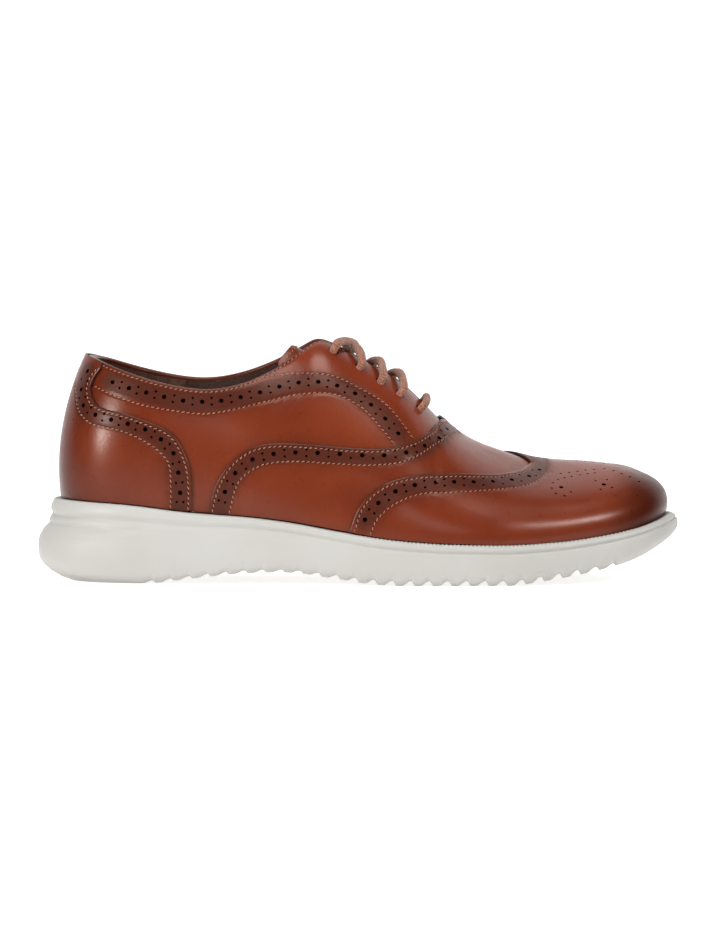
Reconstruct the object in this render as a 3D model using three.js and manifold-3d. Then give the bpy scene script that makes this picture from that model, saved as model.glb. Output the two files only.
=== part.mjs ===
// Wing-tip oxford shoe, right foot, on a moulded foam unit sole. Millimetres, +Z up, toe towards +X.
// While it is built, x runs from the back of the sole; the whole shoe is centred on X at the end.
import * as THREE from "three";
import { mergeVertices } from "three/addons/utils/BufferGeometryUtils.js";
import Module from "manifold-3d";

const wasm = await Module();
wasm.setup();

// Driving dimensions
const LEATHER = 1.1; // thickness of an upper leather
const GAP = 0.3; // clearance kept between neighbouring flat pieces
const LAYER_GAP = 0.55; // and between the curved layers of the upper
const LAYER = LEATHER + LAYER_GAP; // from one layer of the upper to the next
const SEAT_LIFT = 0.7; // the upper ends this far above the sole's top face
const CENTRE_SWING = 0.01; // the centre line drifts towards the big toe as it runs forward
const LINING_START_U = 0.2; // where the heel grip gives way to the quarter lining
const BOARD_THICK = 2.2;
const SOCK_THICK = 3;
const EYELET_HOLE = 6.8; // diameter through leather, stay and lining
const LACE_DIAMETER = 3.8;
const LACE_SIDES = 8;
const AGLET_LENGTH = 16;
const TONGUE_LEATHER = 1.6;
const TONGUE_PAD = 1.8;
const LATERAL = -1;
const MEDIAL = 1;
const TINY = 1e-6;

// Stations of the last, heel to toe. foot: x, lateral and medial half widths on the feather line;
// the toe's point lies on the medial side of the axis, so its lateral half width is negative.
// top: x, lateral and medial half widths from the centre line, lateral and medial height.
// form: bulge, rise, pull and drop of the section between the two, and tilt across the ridge.
const STATIONS = [
  { foot: [12.5, 0, 0], top: [24.2, 0, 0, 106.5, 106.5], form: [3, 23, 0.83, 20.5, 0] },
  { foot: [15.5, 14, 14], top: [26.8, 10.5, 10.5, 105.3, 106], form: [3, 23, 0.8, 20, 0] },
  { foot: [25.5, 25.5, 25], top: [34.5, 20, 20, 101.8, 103.5], form: [3, 22, 0.75, 19, 0] },
  { foot: [43, 32, 31.5], top: [52, 28, 28, 95.8, 98.2], form: [2.8, 20, 0.8, 17, 0] },
  { foot: [68, 34, 31.5], top: [75, 30.5, 30, 91, 94], form: [2.5, 20, 0.9, 16, 0] },
  { foot: [92, 36, 30], top: [95, 28.5, 28, 92.8, 96], form: [2, 20, 0.85, 18, 0] },
  { foot: [112, 39, 30.5], top: [113, 22, 22, 100.6, 103], form: [1, 24, 0.75, 18, 0] },
  { foot: [126, 41.5, 32.5], top: [127, 14.5, 14.5, 110, 111.2], form: [0.5, 28, 0.65, 12, 0] },
  { foot: [137, 43.5, 35], top: [137, 9.8, 9.8, 113.2, 113.4], form: [0, 32, 0.6, 6, 0] },
  { foot: [153, 46.3, 38.5], top: [154, 8.4, 8.4, 104.8, 104.8], form: [0, 32, 0.56, 4, 0] },
  { foot: [171, 48.6, 43], top: [173, 6.8, 6.8, 93.4, 93.4], form: [0, 28, 0.56, 4, 0] },
  { foot: [188, 49.7, 46.5], top: [191, 0, 0, 76, 76], form: [0, 22, 0.6, 0, 0.1] },
  { foot: [205, 49.6, 48.8], top: [204, 0, 0, 65, 65], form: [0.5, 18, 0.62, 0, 0.2] },
  { foot: [222, 47.7, 49.4], top: [218, 0, 0, 58, 58], form: [1, 16, 0.64, 0, 0.3] },
  { foot: [240, 43, 46.8], top: [232, 0, 0, 53.2, 53.2], form: [1.5, 15, 0.66, 0, 0.3] },
  { foot: [257, 37.6, 42.8], top: [246, 0, 0, 51.2, 51.2], form: [2, 14, 0.68, 0, 0.3] },
  { foot: [272, 31.6, 37.2], top: [258, 0, 0, 50.8, 50.8], form: [2.2, 13, 0.7, 0, 0.28] },
  { foot: [284, 24, 29.5], top: [268, 0, 0, 50.5, 50.5], form: [2.4, 12, 0.72, 0, 0.22] },
  { foot: [292.3, 13.4, 19], top: [276.5, 0, 0, 49.9, 49.9], form: [2.5, 11, 0.74, 0, 0.12] },
  { foot: [295.8, -2.9, 2.9], top: [284, 0, 0, 48.4, 48.4], form: [2.4, 9, 0.75, 1, 0] },
];

// Height of the sole's top face and of its tread, against x
const FEATHER = [
  [-10, 39.6], [10, 38.8], [40, 37.2], [75, 33.2], [100, 31.5], [120, 29.2], [145, 24.9], [170, 21],
  [195, 19.2], [220, 18.7], [245, 19.8], [265, 22.2], [280, 25.3], [290, 28.9], [296, 31.8], [312, 40],
];
const TREAD = [
  [-10, 10], [6, 4], [18, 0], [50, 0], [75, 2.6], [100, 5.2], [118, 5.8], [140, 3.4], [160, 0.6],
  [172, 0], [222, 0], [240, 2], [258, 5], [275, 9], [285, 12.6], [291, 16.2], [296, 20], [312, 32],
];
const LAST_STATION = STATIONS.length - 1;
const THROAT_U = 11 / LAST_STATION; // the two facings meet at station 11

// Smooth curve through scalar points [x, value] that never overshoots them
function along(points, x) {
  let k = 1;
  while (k < points.length - 1 && points[k][0] < x) k += 1;
  const [a, b] = [points[k - 1], points[k]];
  const secant = (i) => (points[i + 1][1] - points[i][1]) / (points[i + 1][0] - points[i][0]);
  const slopeAt = (i) => {
    if (i === 0 || i === points.length - 1) return secant(Math.min(i, points.length - 2));
    const [left, right] = [secant(i - 1), secant(i)];
    return left * right <= 0 ? 0 : (2 * left * right) / (left + right);
  };
  const span = b[0] - a[0];
  const t = THREE.MathUtils.clamp((x - a[0]) / span, 0, 1);
  const rest = 1 - t;
  return a[1] * (1 + 2 * t) * rest * rest + slopeAt(k - 1) * span * t * rest * rest
    + b[1] * t * t * (3 - 2 * t) - slopeAt(k) * span * t * t * rest;
}

const spread = (from, to, count) => Array.from({ length: count + 1 }, (_, k) => from + ((to - from) * k) / count);

// Catmull-Rom blend of numbers that stand at whole stations
function blend(at, u) {
  const s = THREE.MathUtils.clamp(u, 0, 1) * LAST_STATION;
  const i = Math.min(Math.floor(s), LAST_STATION - 1);
  const t = s - i;
  const [p, a, b, q] = [at(i - 1), at(i), at(i + 1), at(i + 2)];
  const bend = 2 * p - 5 * a + 4 * b - q;
  return a + 0.5 * t * (b - p + t * (bend + t * (3 * (a - b) + q - p)));
}

// Beyond the heel and toe the outline carries on round the other side
const mirrored = (k) => (k < 0 ? -k : k > LAST_STATION ? 2 * LAST_STATION - k : k);
const isBeyond = (k) => k < 0 || k > LAST_STATION;
const plainAt = (field, slot) => (k) => STATIONS[mirrored(k)][field][slot];
const widthAt = (field, side) => (k) => {
  const own = side === LATERAL ? 1 : 2;
  return isBeyond(k) ? -STATIONS[mirrored(k)][field][3 - own] : STATIONS[k][field][own];
};
const centreY = (x) => CENTRE_SWING * x;

function footPoint(side, u) {
  const x = blend(plainAt("foot", 0), u);
  return new THREE.Vector3(x, side * blend(widthAt("foot", side), u), along(FEATHER, x) + SEAT_LIFT);
}

function topPoint(side, u) {
  const x = blend(plainAt("top", 0), u);
  const half = u >= THROAT_U ? 0 : blend(widthAt("top", side), u);
  const heightSlot = side === LATERAL ? 3 : 4;
  return new THREE.Vector3(x, centreY(x) + side * half, blend(plainAt("top", heightSlot), u));
}

function ridgeSlope(u) {
  const step = 0.004;
  const a = topPoint(LATERAL, Math.max(u - step, 0));
  const b = topPoint(LATERAL, Math.min(u + step, 1));
  return (b.z - a.z) / (b.x - a.x);
}

// Point of the last: u runs heel to toe along the feather line, v from the feather line to the top
function lastPoint(side, u, v) {
  const foot = footPoint(side, u);
  const top = topPoint(side, u);
  const [bulge, rise, pull, drop, tilt] = [0, 1, 2, 3, 4].map((k) => blend(plainAt("form", k), u));
  const out = new THREE.Vector3(foot.x - top.x, foot.y - top.y, 0);
  const low = foot.clone().addScaledVector(out.clone().normalize(), bulge);
  low.z += rise;
  const high = top.clone().addScaledVector(out, pull);
  const slope = u > THROAT_U ? ridgeSlope(u) : 0;
  high.z += slope * pull * out.x + side * tilt * pull * Math.abs(out.y) - drop;
  const w = 1 - v;
  return foot.multiplyScalar(w * w * w)
    .addScaledVector(low, 3 * w * w * v)
    .addScaledVector(high, 3 * w * v * v)
    .addScaledVector(top, v * v * v);
}

// Normal of one side; where the sections run out along the ridge at the toe, it is taken a little lower
function sideNormal(side, u, height) {
  const step = 0.002;
  const v = Math.min(height, 1 - 0.06 * THREE.MathUtils.smoothstep(u, 0.86, 0.96));
  const [u0, u1] = [Math.max(u - step, 0), Math.min(u + step, 1)];
  const [v0, v1] = [Math.max(v - step, 0), Math.min(v + step, 1)];
  const du = lastPoint(side, u1, v).sub(lastPoint(side, u0, v));
  const dv = lastPoint(side, u, v1).sub(lastPoint(side, u, v0));
  return du.cross(dv).multiplyScalar(-side).normalize();
}

const isEnd = (u) => u <= TINY || u >= 1 - TINY;
const isShared = (u, v) => isEnd(u) || (v >= 1 - TINY && u >= THROAT_U - TINY);

// Point at a distance outside the last; both sides agree along the lines that they share
function offsetPoint(side, u, v, distance) {
  const point = lastPoint(side, u, v);
  const normal = sideNormal(side, u, v);
  if (isShared(u, v)) {
    const [one, other] = [sideNormal(LATERAL, u, v), sideNormal(MEDIAL, u, v)];
    normal.addVectors(one, other);
    point.copy(lastPoint(LATERAL, u, v));
  }
  if (isEnd(u)) normal.y = 0;
  return point.addScaledVector(normal.normalize(), distance);
}

// u and v of the lateral point at x, z in side elevation, on a surface at this distance from the last
function findUV(x, z, distance) {
  let best = [0, 0, Infinity];
  const [columns, rows] = [57, 20];
  for (let i = 0; i <= columns; i += 1) {
    for (let j = 0; j <= rows; j += 1) {
      const point = lastPoint(LATERAL, i / columns, j / rows);
      const miss = Math.hypot(point.x - x, point.z - z);
      if (miss < best[2]) best = [i / columns, j / rows, miss];
    }
  }
  let [u, v] = best;
  const step = 0.001;
  for (let round = 0; round < 14; round += 1) {
    const here = offsetPoint(LATERAL, u, v, distance);
    const alongU = offsetPoint(LATERAL, u + step, v, distance).sub(here).divideScalar(step);
    const alongV = offsetPoint(LATERAL, u, v + step, distance).sub(here).divideScalar(step);
    const det = alongU.x * alongV.z - alongV.x * alongU.z;
    if (Math.abs(det) < 1) break;
    const [missX, missZ] = [x - here.x, z - here.z];
    u = THREE.MathUtils.clamp(u + (0.7 * (missX * alongV.z - alongV.x * missZ)) / det, TINY, 0.998);
    v = THREE.MathUtils.clamp(v + (0.7 * (alongU.x * missZ - missX * alongU.z)) / det, 0, 0.998);
  }
  return [u, v];
}

// u of the section whose top lies at x
function topU(x) {
  let [low, high] = [0, 1];
  for (let round = 0; round < 30; round += 1) {
    const middle = (low + high) / 2;
    if (blend(plainAt("top", 0), middle) < x) low = middle;
    else high = middle;
  }
  return low;
}

// A panel's edge as [u, v] points, evenly spaced along its line in side elevation
function edgeLine(points, count, distance, tipX) {
  const curve = new THREE.CatmullRomCurve3(points.map(([x, z]) => new THREE.Vector3(x, 0, z)), false, "centripetal");
  const line = curve.getSpacedPoints(count).map((p) => findUV(p.x, p.z, distance));
  const sorted = line.filter(([u], k) => k === 0 || u > line[k - 1][0]);
  if (tipX) sorted.push([topU(tipX), 1]);
  return sorted;
}

const edgeV = (line, u, before, after) => {
  if (u < line[0][0] - TINY) return before;
  if (u > line[line.length - 1][0] + TINY) return after;
  const k = Math.max(1, line.findIndex((p) => p[0] >= u - TINY));
  const [a, b] = [line[k - 1], line[Math.min(k, line.length - 1)]];
  return a[1] + ((b[1] - a[1]) * (u - a[0])) / Math.max(b[0] - a[0], TINY);
};

// All panels share one grid of u and v lines, so that the facets of two layers never cross
const GRID_U = spread(0, 1, 2 * LAST_STATION);
const GRID_V = spread(0, 1, 7);

// Columns [u, low v, high v] of a panel: its own u values, and the grid's lines between them
function columnsBetween(own, lowV, highV) {
  const [from, to] = [Math.min(...own), Math.max(...own)];
  const clear = (u) => own.every((other) => Math.abs(other - u) > 0.004);
  const grid = GRID_U.filter((u) => u > from && u < to && clear(u));
  const ordered = [...own, ...grid].sort((a, b) => a - b);
  const kept = ordered.filter((u, k) => k === 0 || u - ordered[k - 1] > TINY);
  return kept.map((u) => [u, lowV(u), highV(u)]).filter(([, low, high]) => high - low > 0.012);
}

// Closed surface from quads [a, b, c, d]; a quad that has closed up gives one triangle or none
function quadsToGeometry(quads) {
  const positions = [];
  const same = (p, q) => p.distanceToSquared(q) < 1e-8;
  for (const [a, b, c, d] of quads) {
    for (const tri of [[a, b, c], [a, c, d]]) {
      if (same(tri[0], tri[1]) || same(tri[1], tri[2]) || same(tri[2], tri[0])) continue;
      for (const p of tri) positions.push(p.x, p.y, p.z);
    }
  }
  const geometry = new THREE.BufferGeometry();
  geometry.setAttribute("position", new THREE.Float32BufferAttribute(positions, 3));
  return mergeVertices(geometry, 1e-4);
}

function gridQuads(grid, flip) {
  const quads = [];
  for (let i = 0; i + 1 < grid.length; i += 1) {
    for (let j = 0; j + 1 < grid[i].length; j += 1) {
      const quad = [grid[i][j], grid[i + 1][j], grid[i + 1][j + 1], grid[i][j + 1]];
      quads.push(flip ? quad.reverse() : quad);
    }
  }
  return quads;
}

// Quads of the wall round the rim of two matching grids, leaving out the edges that are told to be open
function rimQuads(under, over, flip, open) {
  const [last, rows] = [under.length - 1, under[0].length - 1];
  const quads = [];
  const wall = (i, j, k, l, turn) => {
    const quad = [under[i][j], under[k][l], over[k][l], over[i][j]];
    quads.push(turn === flip ? quad.reverse() : quad);
  };
  for (let i = 0; i < last; i += 1) {
    wall(i, 0, i + 1, 0, true);
    if (!open.top(i)) wall(i, rows, i + 1, rows, false);
  }
  for (let j = 0; j < rows; j += 1) {
    if (!open.start) wall(0, j, 0, j + 1, false);
    if (!open.end) wall(last, j, last, j + 1, true);
  }
  return quads;
}

// Leather panel on the last; the two sides join along the lines that they share
function panel(columns, inner, outer, sides) {
  const quads = [];
  const both = sides.length === 2;
  for (const side of sides) {
    const sheet = (distance) => columns.map(([u, low, high]) =>
      GRID_V.map((v) => offsetPoint(side, u, THREE.MathUtils.clamp(v, low, high), distance)));
    const [under, over] = [sheet(inner), sheet(outer)];
    const flip = side === LATERAL;
    const shared = (i) => isShared(columns[i][0], columns[i][2]);
    const open = {
      top: (i) => both && shared(i) && shared(i + 1),
      start: both && isEnd(columns[0][0]),
      end: both && isEnd(columns[columns.length - 1][0]),
    };
    quads.push(...gridQuads(over, !flip), ...gridQuads(under, flip), ...rimQuads(under, over, !flip, open));
  }
  return quadsToGeometry(quads);
}

function toManifold(geometry) {
  const clean = geometry.clone();
  clean.deleteAttribute("normal");
  clean.deleteAttribute("uv");
  const merged = mergeVertices(clean, 1e-4);
  return new wasm.Manifold(new wasm.Mesh({
    numProp: 3,
    vertProperties: new Float32Array(merged.attributes.position.array),
    triVerts: new Uint32Array(merged.index.array),
  }));
}

function fromManifold(solid) {
  const mesh = solid.getMesh();
  const geometry = new THREE.BufferGeometry();
  geometry.setAttribute("position", new THREE.BufferAttribute(mesh.vertProperties, 3));
  geometry.setIndex(new THREE.BufferAttribute(mesh.triVerts, 1));
  return geometry;
}

function cut(geometry, tools) {
  const solid = tools.reduce((left, tool) => left.subtract(toManifold(tool)), toManifold(geometry));
  return fromManifold(solid);
}

// Edges of the panels, in side elevation
const WING_EDGE = [[149, 29], [152, 35.4], [157, 42], [165, 47.7], [177.4, 51.4], [196, 52.4], [208, 51.8],
  [219.3, 51.3], [229, 52]];
const WING_TIP = 234.4;
const VAMP_UNDERLAP = [[158.5, 27], [161, 31.5], [168, 38], [178, 42], [196, 43.2], [208, 42.8], [219, 42.6],
  [229, 43.6], [237, 46]];
const VAMP_UNDER_TIP = 243;
const VAMP_EDGE = [[82, 36], [83.8, 42.5], [90.1, 55.1], [100.7, 63.8], [111.8, 66.5], [128.2, 66.1],
  [148.7, 64.5], [165.1, 64.5], [178.2, 67.6], [187, 72.6]];
const THROAT_X = 192.4;
const QUARTER_UNDERLAP = [[91, 35], [93.5, 44], [99, 52], [108, 56.5], [128, 57.2], [149, 55.5], [165, 55.5],
  [180, 58.5], [191, 64]];
const QUARTER_UNDER_TIP = 199;
const COUNTER_EDGE = [[25.6, 91], [27.7, 85.9], [40.4, 81.1], [56.1, 75.6], [64.9, 70.9], [70.4, 62.2], [73.5, 52.7]];

// Layers of the upper, as distances from the last
const OVER_ALL = [2 * LAYER - LEATHER, 2 * LAYER];
const OVER = [LAYER - LEATHER, LAYER];
const BASE = [-LEATHER - 0.2, -0.2];
const MIDDLE = [-2.5, -LAYER - 0.2];
const INNER = [-3.9, -3.1];

const wingLine = edgeLine(WING_EDGE, 11, OVER_ALL[1], WING_TIP);
const vampUnderLine = edgeLine(VAMP_UNDERLAP, 8, OVER[1], VAMP_UNDER_TIP);
const vampLine = edgeLine(VAMP_EDGE, 13, OVER[1], THROAT_X);
const quarterUnderLine = edgeLine(QUARTER_UNDERLAP, 8, BASE[1], QUARTER_UNDER_TIP);
const counterLine = edgeLine(COUNTER_EDGE, 7, OVER[1]);
const lineU = (line) => line.map(([u]) => u);
const lineEnd = (line) => line[line.length - 1][0];
const SIDES = [LATERAL, MEDIAL];
const SEAM_V = 0.994; // where a facing meets its fellow, short of the centre line
const BACK_SEAM_U = 0.003;

function wingCap() {
  const columns = columnsBetween([...lineU(wingLine), 1], () => 0, (u) => edgeV(wingLine, u, 0, 1));
  return panel(columns, ...OVER_ALL, SIDES);
}

function vamp() {
  const columns = columnsBetween([...lineU(vampLine), ...lineU(vampUnderLine)],
    (u) => edgeV(vampUnderLine, u, 0, 1), (u) => edgeV(vampLine, u, 0, 1));
  return panel(columns, ...OVER, SIDES);
}

function toePuff() {
  const clearance = 0.02;
  const ahead = vampUnderLine.map(([u, v]) => [u + clearance * 0.5, Math.max(v - clearance, 0.02)]);
  const start = topU(VAMP_UNDER_TIP + 2);
  const columns = columnsBetween([...lineU(ahead).slice(0, -1), start, 1],
    () => 0, (u) => (u < start - TINY ? edgeV(ahead, u, 0, ahead[ahead.length - 2][1]) : 1));
  return panel(columns, OVER[0] + 0.15, OVER[1], SIDES);
}

function vampLining() {
  const clearance = 0.02;
  const ahead = quarterUnderLine.map(([u, v]) => [u + clearance * 0.5, Math.max(v - clearance, 0.02)]);
  const start = topU(QUARTER_UNDER_TIP + 2);
  const columns = columnsBetween([...lineU(ahead).slice(0, -1), start, 1],
    () => 0, (u) => (u < start - TINY ? edgeV(ahead, u, 0, ahead[ahead.length - 2][1]) : 1));
  return panel(columns, ...BASE, SIDES);
}

function quarter(side) {
  const columns = columnsBetween([BACK_SEAM_U, ...lineU(quarterUnderLine), THROAT_U],
    (u) => edgeV(quarterUnderLine, u, 0, 1), (u) => (u > THROAT_U - 0.02 ? SEAM_V : 1));
  return cut(panel(columns, ...BASE, [side]), eyeletDrills(side));
}

function heelCounter() {
  const start = counterLine[0][0];
  const columns = columnsBetween([0, start - 0.004, ...lineU(counterLine)], () => 0,
    (u) => (u < start - TINY ? 1 : edgeV(counterLine, u, 1, 0)));
  return panel(columns, ...OVER, SIDES);
}

function heelStiffener() {
  const columns = columnsBetween([0, LINING_START_U], () => 0.01, (u) => 0.66 - 0.6 * u);
  return panel(columns, ...MIDDLE, SIDES);
}

function collarPad() {
  const columns = columnsBetween([0, LINING_START_U], (u) => 0.675 - 0.6 * u, () => 0.985);
  return panel(columns, ...MIDDLE, SIDES);
}

function heelGrip() {
  return panel(columnsBetween([0, LINING_START_U], () => 0, () => 1), ...INNER, SIDES);
}

function quarterLining(side) {
  const columns = columnsBetween([LINING_START_U + 0.004, THROAT_U, topU(QUARTER_UNDER_TIP)],
    () => 0, (u) => (u > THROAT_U - 0.02 ? SEAM_V : 1));
  return cut(panel(columns, ...INNER, [side]), eyeletDrills(side));
}

function facingStay(side) {
  const columns = columnsBetween([topU(131), topU(183.5)], () => 4.6 / 7, () => 0.985);
  return cut(panel(columns, MIDDLE[0] + 0.1, MIDDLE[1], [side]), eyeletDrills(side));
}

// Eyelets, in side elevation on the lateral facing; the medial ones face them
const EYELETS = [[140.8, 109], [153.2, 101.6], [163, 94.9], [172.3, 88.7], [181.6, 81.4]];
const eyeletUV = EYELETS.map(([x, z]) => findUV(x, z, 0));

function atEyelet(geometry, side, index, distance) {
  const [u, v] = eyeletUV[index];
  const centre = offsetPoint(side, u, v, distance);
  const axis = offsetPoint(side, u, v, distance + 1).sub(centre);
  const turn = new THREE.Quaternion().setFromUnitVectors(new THREE.Vector3(0, 1, 0), axis);
  return geometry.applyQuaternion(turn).translate(centre.x, centre.y, centre.z);
}

function eyeletDrills(side) {
  return EYELETS.map((_, index) =>
    atEyelet(new THREE.CylinderGeometry(EYELET_HOLE / 2, EYELET_HOLE / 2, 12, 9), side, index, -1.5));
}

function eyeletRing(side, index) {
  const [hole, edge, thick] = [2.75, 3.9, 0.5];
  const profile = [[hole, 0], [edge, 0], [edge, thick], [hole, thick], [hole, 0]].map(([r, y]) => new THREE.Vector2(r, y));
  return atEyelet(new THREE.LatheGeometry(profile, 9), side, index, INNER[0] - thick - 1.05);
}

// Sole wall: part of the height, then the overhang past the feather line at forefoot, heel and toe
const SOLE_WALL = [
  [1, 4.6, 4.6, 5.2], [0.97, 5.4, 5.2, 6.2], [0.87, 5.8, 6.3, 7.6], [0.81, 5.1, 5.4, 7.4],
  [0.76, 5.9, 6.6, 8.3], [0.6, 6.3, 10.4, 8.7], [0.44, 6.5, 12.4, 8.7], [0.25, 6.2, 11.9, 7.2],
  [0.1, 5, 7, 4.8], [0, 2.6, -2, 2.2],
];
const NOTCH_START = 54;
const NOTCH_END = 275;
const NOTCH_PITCH = 8.7;
const ARCH_NOTCH = 1.2;
const FOREFOOT_NOTCH = 2.3;

// Point of the outline, moved outwards in plan
function outlinePoint(side, u, overhang) {
  const step = 0.002;
  const back = footPoint(side, Math.max(u - step, 0));
  const front = footPoint(side, Math.min(u + step, 1));
  const out = new THREE.Vector3(front.y - back.y, back.x - front.x, 0).multiplyScalar(-side).normalize();
  if (isEnd(u)) out.set(u < 0.5 ? -1 : 1, 0, 0);
  const point = footPoint(side, u).addScaledVector(out, overhang);
  if (isEnd(u)) point.y = footPoint(MEDIAL, u).y;
  return point;
}

const rings = (uList, ringPoint) => [
  ...uList.map((u) => ringPoint(LATERAL, u)), ...uList.slice(1, -1).reverse().map((u) => ringPoint(MEDIAL, u)),
];

// Solid from closed rings stacked from the top down, with flat-across caps between the facing points of the end rings
function stackedSolid(uList, levels, ringPoint) {
  const stack = levels.map((level) => rings(uList, (side, u) => ringPoint(side, u, level)));
  const count = stack[0].length;
  const quads = [];
  for (let k = 0; k + 1 < stack.length; k += 1) {
    for (let i = 0; i < count; i += 1) {
      const next = (i + 1) % count;
      quads.push([stack[k][next], stack[k][i], stack[k + 1][i], stack[k + 1][next]]);
    }
  }
  const cap = (ring, flip) => {
    for (let i = 0; i + 1 < uList.length; i += 1) {
      const partner = (k) => ring[(count - k) % count];
      const quad = [ring[i], ring[i + 1], partner(i + 1), partner(i)];
      quads.push(flip ? quad.reverse() : quad);
    }
  };
  cap(stack[0], false);
  cap(stack[stack.length - 1], true);
  return quadsToGeometry(quads);
}

const smoothStep = (from, to, x) => THREE.MathUtils.smoothstep(x, from, to);

function soleUnit() {
  const block = stackedSolid(spread(0, 1, 34), SOLE_WALL, (side, u, [part, forefoot, heel, toe]) => {
    const x = footPoint(side, u).x;
    const [heelShare, toeShare] = [1 - smoothStep(14, 80, x), smoothStep(262, 292, x)];
    const overhang = forefoot + heelShare * (heel - forefoot) + toeShare * (toe - forefoot);
    const point = outlinePoint(side, u, overhang);
    const tread = along(TREAD, x);
    point.z = tread + part * (along(FEATHER, x) - tread);
    return point;
  });
  const notches = [];
  for (let x = NOTCH_START; x < NOTCH_END; x += NOTCH_PITCH) {
    const depth = (ARCH_NOTCH + (FOREFOOT_NOTCH - ARCH_NOTCH) * smoothStep(120, 170, x)) * (1 - 0.5 * smoothStep(250, 280, x));
    notches.push(treadNotch(x, depth));
  }
  return cut(block, notches);
}

function treadNotch(x, depth) {
  const half = 0.34 * NOTCH_PITCH;
  const below = 4;
  const outline = new THREE.Shape([[-half, 0], [-half, -below], [half, -below], [half, 0], [0.4 * half, depth]]
    .map(([a, b]) => new THREE.Vector2(a, b)));
  const width = 140;
  const notch = new THREE.ExtrudeGeometry(outline, { depth: width, bevelEnabled: false });
  return notch.translate(0, 0, -width / 2).rotateX(Math.PI / 2).translate(x, 0, along(TREAD, x));
}

// Flat layer inside the upper, between two heights above the sole's top face
function innerPlate(inset, low, high) {
  return stackedSolid(spread(0, 1, 22), [high, low], (side, u, height) => {
    const point = outlinePoint(side, u, -inset);
    point.z = along(FEATHER, point.x) + height;
    return point;
  });
}

const insoleBoard = () => innerPlate(4.3, GAP, GAP + BOARD_THICK);
const sockLiner = () => innerPlate(4.6, 2 * GAP + BOARD_THICK, 2 * GAP + BOARD_THICK + SOCK_THICK);

// Tongue: its centre line in side elevation, from the root seam to the free end, and its half widths
const TONGUE_LINE = [[195, 58], [185, 68.3], [172, 79.6], [154, 92], [138, 101], [127, 106.2], [117, 110]];
const TONGUE_HALF = [[117, 11], [122, 12.5], [134, 13.2], [145, 15.5], [154, 16.5], [165, 15.5], [175, 13], [195, 8.5]];
const TONGUE_SHIFT = -1.5; // towards the lateral side, whose wall is fuller
const TONGUE_CURVE = 0.032; // how fast it falls away to the sides

function tongueSheet(drop, thick, margin) {
  const line = new THREE.CatmullRomCurve3(TONGUE_LINE.map(([x, z]) => new THREE.Vector3(x, 0, z)));
  const centres = line.getSpacedPoints(10);
  const sheet = (depth) => centres.map((centre) => {
    const half = along(TONGUE_HALF, centre.x) - margin;
    return spread(-half, half, 6).map((y) =>
      new THREE.Vector3(centre.x, centreY(centre.x) + TONGUE_SHIFT + y, centre.z - TONGUE_CURVE * y * y - depth));
  });
  const [over, under] = [sheet(drop), sheet(drop + thick)];
  const open = { top: () => false, start: false, end: false };
  return quadsToGeometry([...gridQuads(over, true), ...gridQuads(under, false), ...rimQuads(under, over, true, open)]);
}

const tongue = () => tongueSheet(0, TONGUE_LEATHER, 0);
const tongueLining = () => tongueSheet(TONGUE_LEATHER + GAP, TONGUE_PAD, 0.8);

// The lace passes through its route's points one step each, with one more between
class LaceRoute extends THREE.CatmullRomCurve3 {
  getPointAt(t, target) {
    return this.getPoint(t, target);
  }

  getTangentAt(t, target) {
    return this.getTangent(t, target);
  }
}

// Route from one tucked end to the other
const LACE_ROUTE = [
  [196.8, -37, 27.9], [174.2, -38.9, 29.5], [155.6, -39.2, 32], [141.5, -34.8, 54.5], [134.3, -28, 77.4],
  [133.4, -18.8, 96.7], [138, -10, 102.7], [141.8, -15.7, 111.2], [145.4, -7.5, 112.7], [148.1, 1.5, 108],
  [151.8, 10.2, 109.7], [154.2, 17.6, 103.4], [150.2, 10.8, 96.1], [152.3, 9.1, 97.2], [158.4, 1.6, 103.2],
  [162.3, -5.9, 103.6], [164.1, -18.4, 96.8], [159.6, -12.6, 89], [162, -5.4, 91.8], [165.7, 1.7, 93.8],
  [171.7, 8.5, 97.9], [173.6, 19.3, 90.4], [168.2, 13.1, 83.4], [176.2, 11.6, 76.8], [183.3, 15.7, 83.8],
  [184.8, 1.8, 86.4], [183.4, -13.9, 83], [175.8, -10.3, 76.4], [167.7, -12.9, 83.2], [173.8, -18, 90.5],
  [171.7, -5.1, 97.9], [168, 1.7, 97.7], [162, 8.8, 91.8], [160.1, 12.3, 89.4], [163.9, 19.4, 96.5],
  [162.3, 9.2, 103.6], [156.1, 1.6, 99.3], [152.3, -6, 97.2], [149.7, -11.1, 95.5], [154.3, -16.6, 103.5],
  [151.8, -7.1, 109.7], [150.2, 1.5, 112], [145.4, 10.4, 112.8], [141.7, 16.9, 111], [138.3, 9.7, 103.6],
  [132.9, 16, 98], [134.5, 22.2, 78.2], [141.8, 27.4, 54.9], [156.3, 31.8, 31.9], [175, 33.9, 29.4],
  [197.7, 35.1, 27.9],
];

function laceTube() {
  const route = new LaceRoute(LACE_ROUTE.map((p) => new THREE.Vector3(...p)), false, "centripetal");
  const section = new THREE.Shape(spread(0, 1, LACE_SIDES).slice(0, -1).map((turn) =>
    new THREE.Vector2(Math.cos(turn * 2 * Math.PI), Math.sin(turn * 2 * Math.PI)).multiplyScalar(LACE_DIAMETER / 2)));
  const steps = 2 * (LACE_ROUTE.length - 1);
  return new THREE.ExtrudeGeometry(section, { steps, extrudePath: route, bevelEnabled: false });
}

// Plastic tip that carries on from an end of the lace
function aglet(end, before) {
  const [from, back] = [new THREE.Vector3(...end), new THREE.Vector3(...before)];
  const direction = from.clone().sub(back).normalize();
  const geometry = new THREE.CylinderGeometry(1.25, 1.6, AGLET_LENGTH, LACE_SIDES);
  geometry.applyQuaternion(new THREE.Quaternion().setFromUnitVectors(new THREE.Vector3(0, 1, 0), direction));
  const centre = from.addScaledVector(direction, GAP + AGLET_LENGTH / 2);
  return geometry.translate(centre.x, centre.y, centre.z);
}

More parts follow.
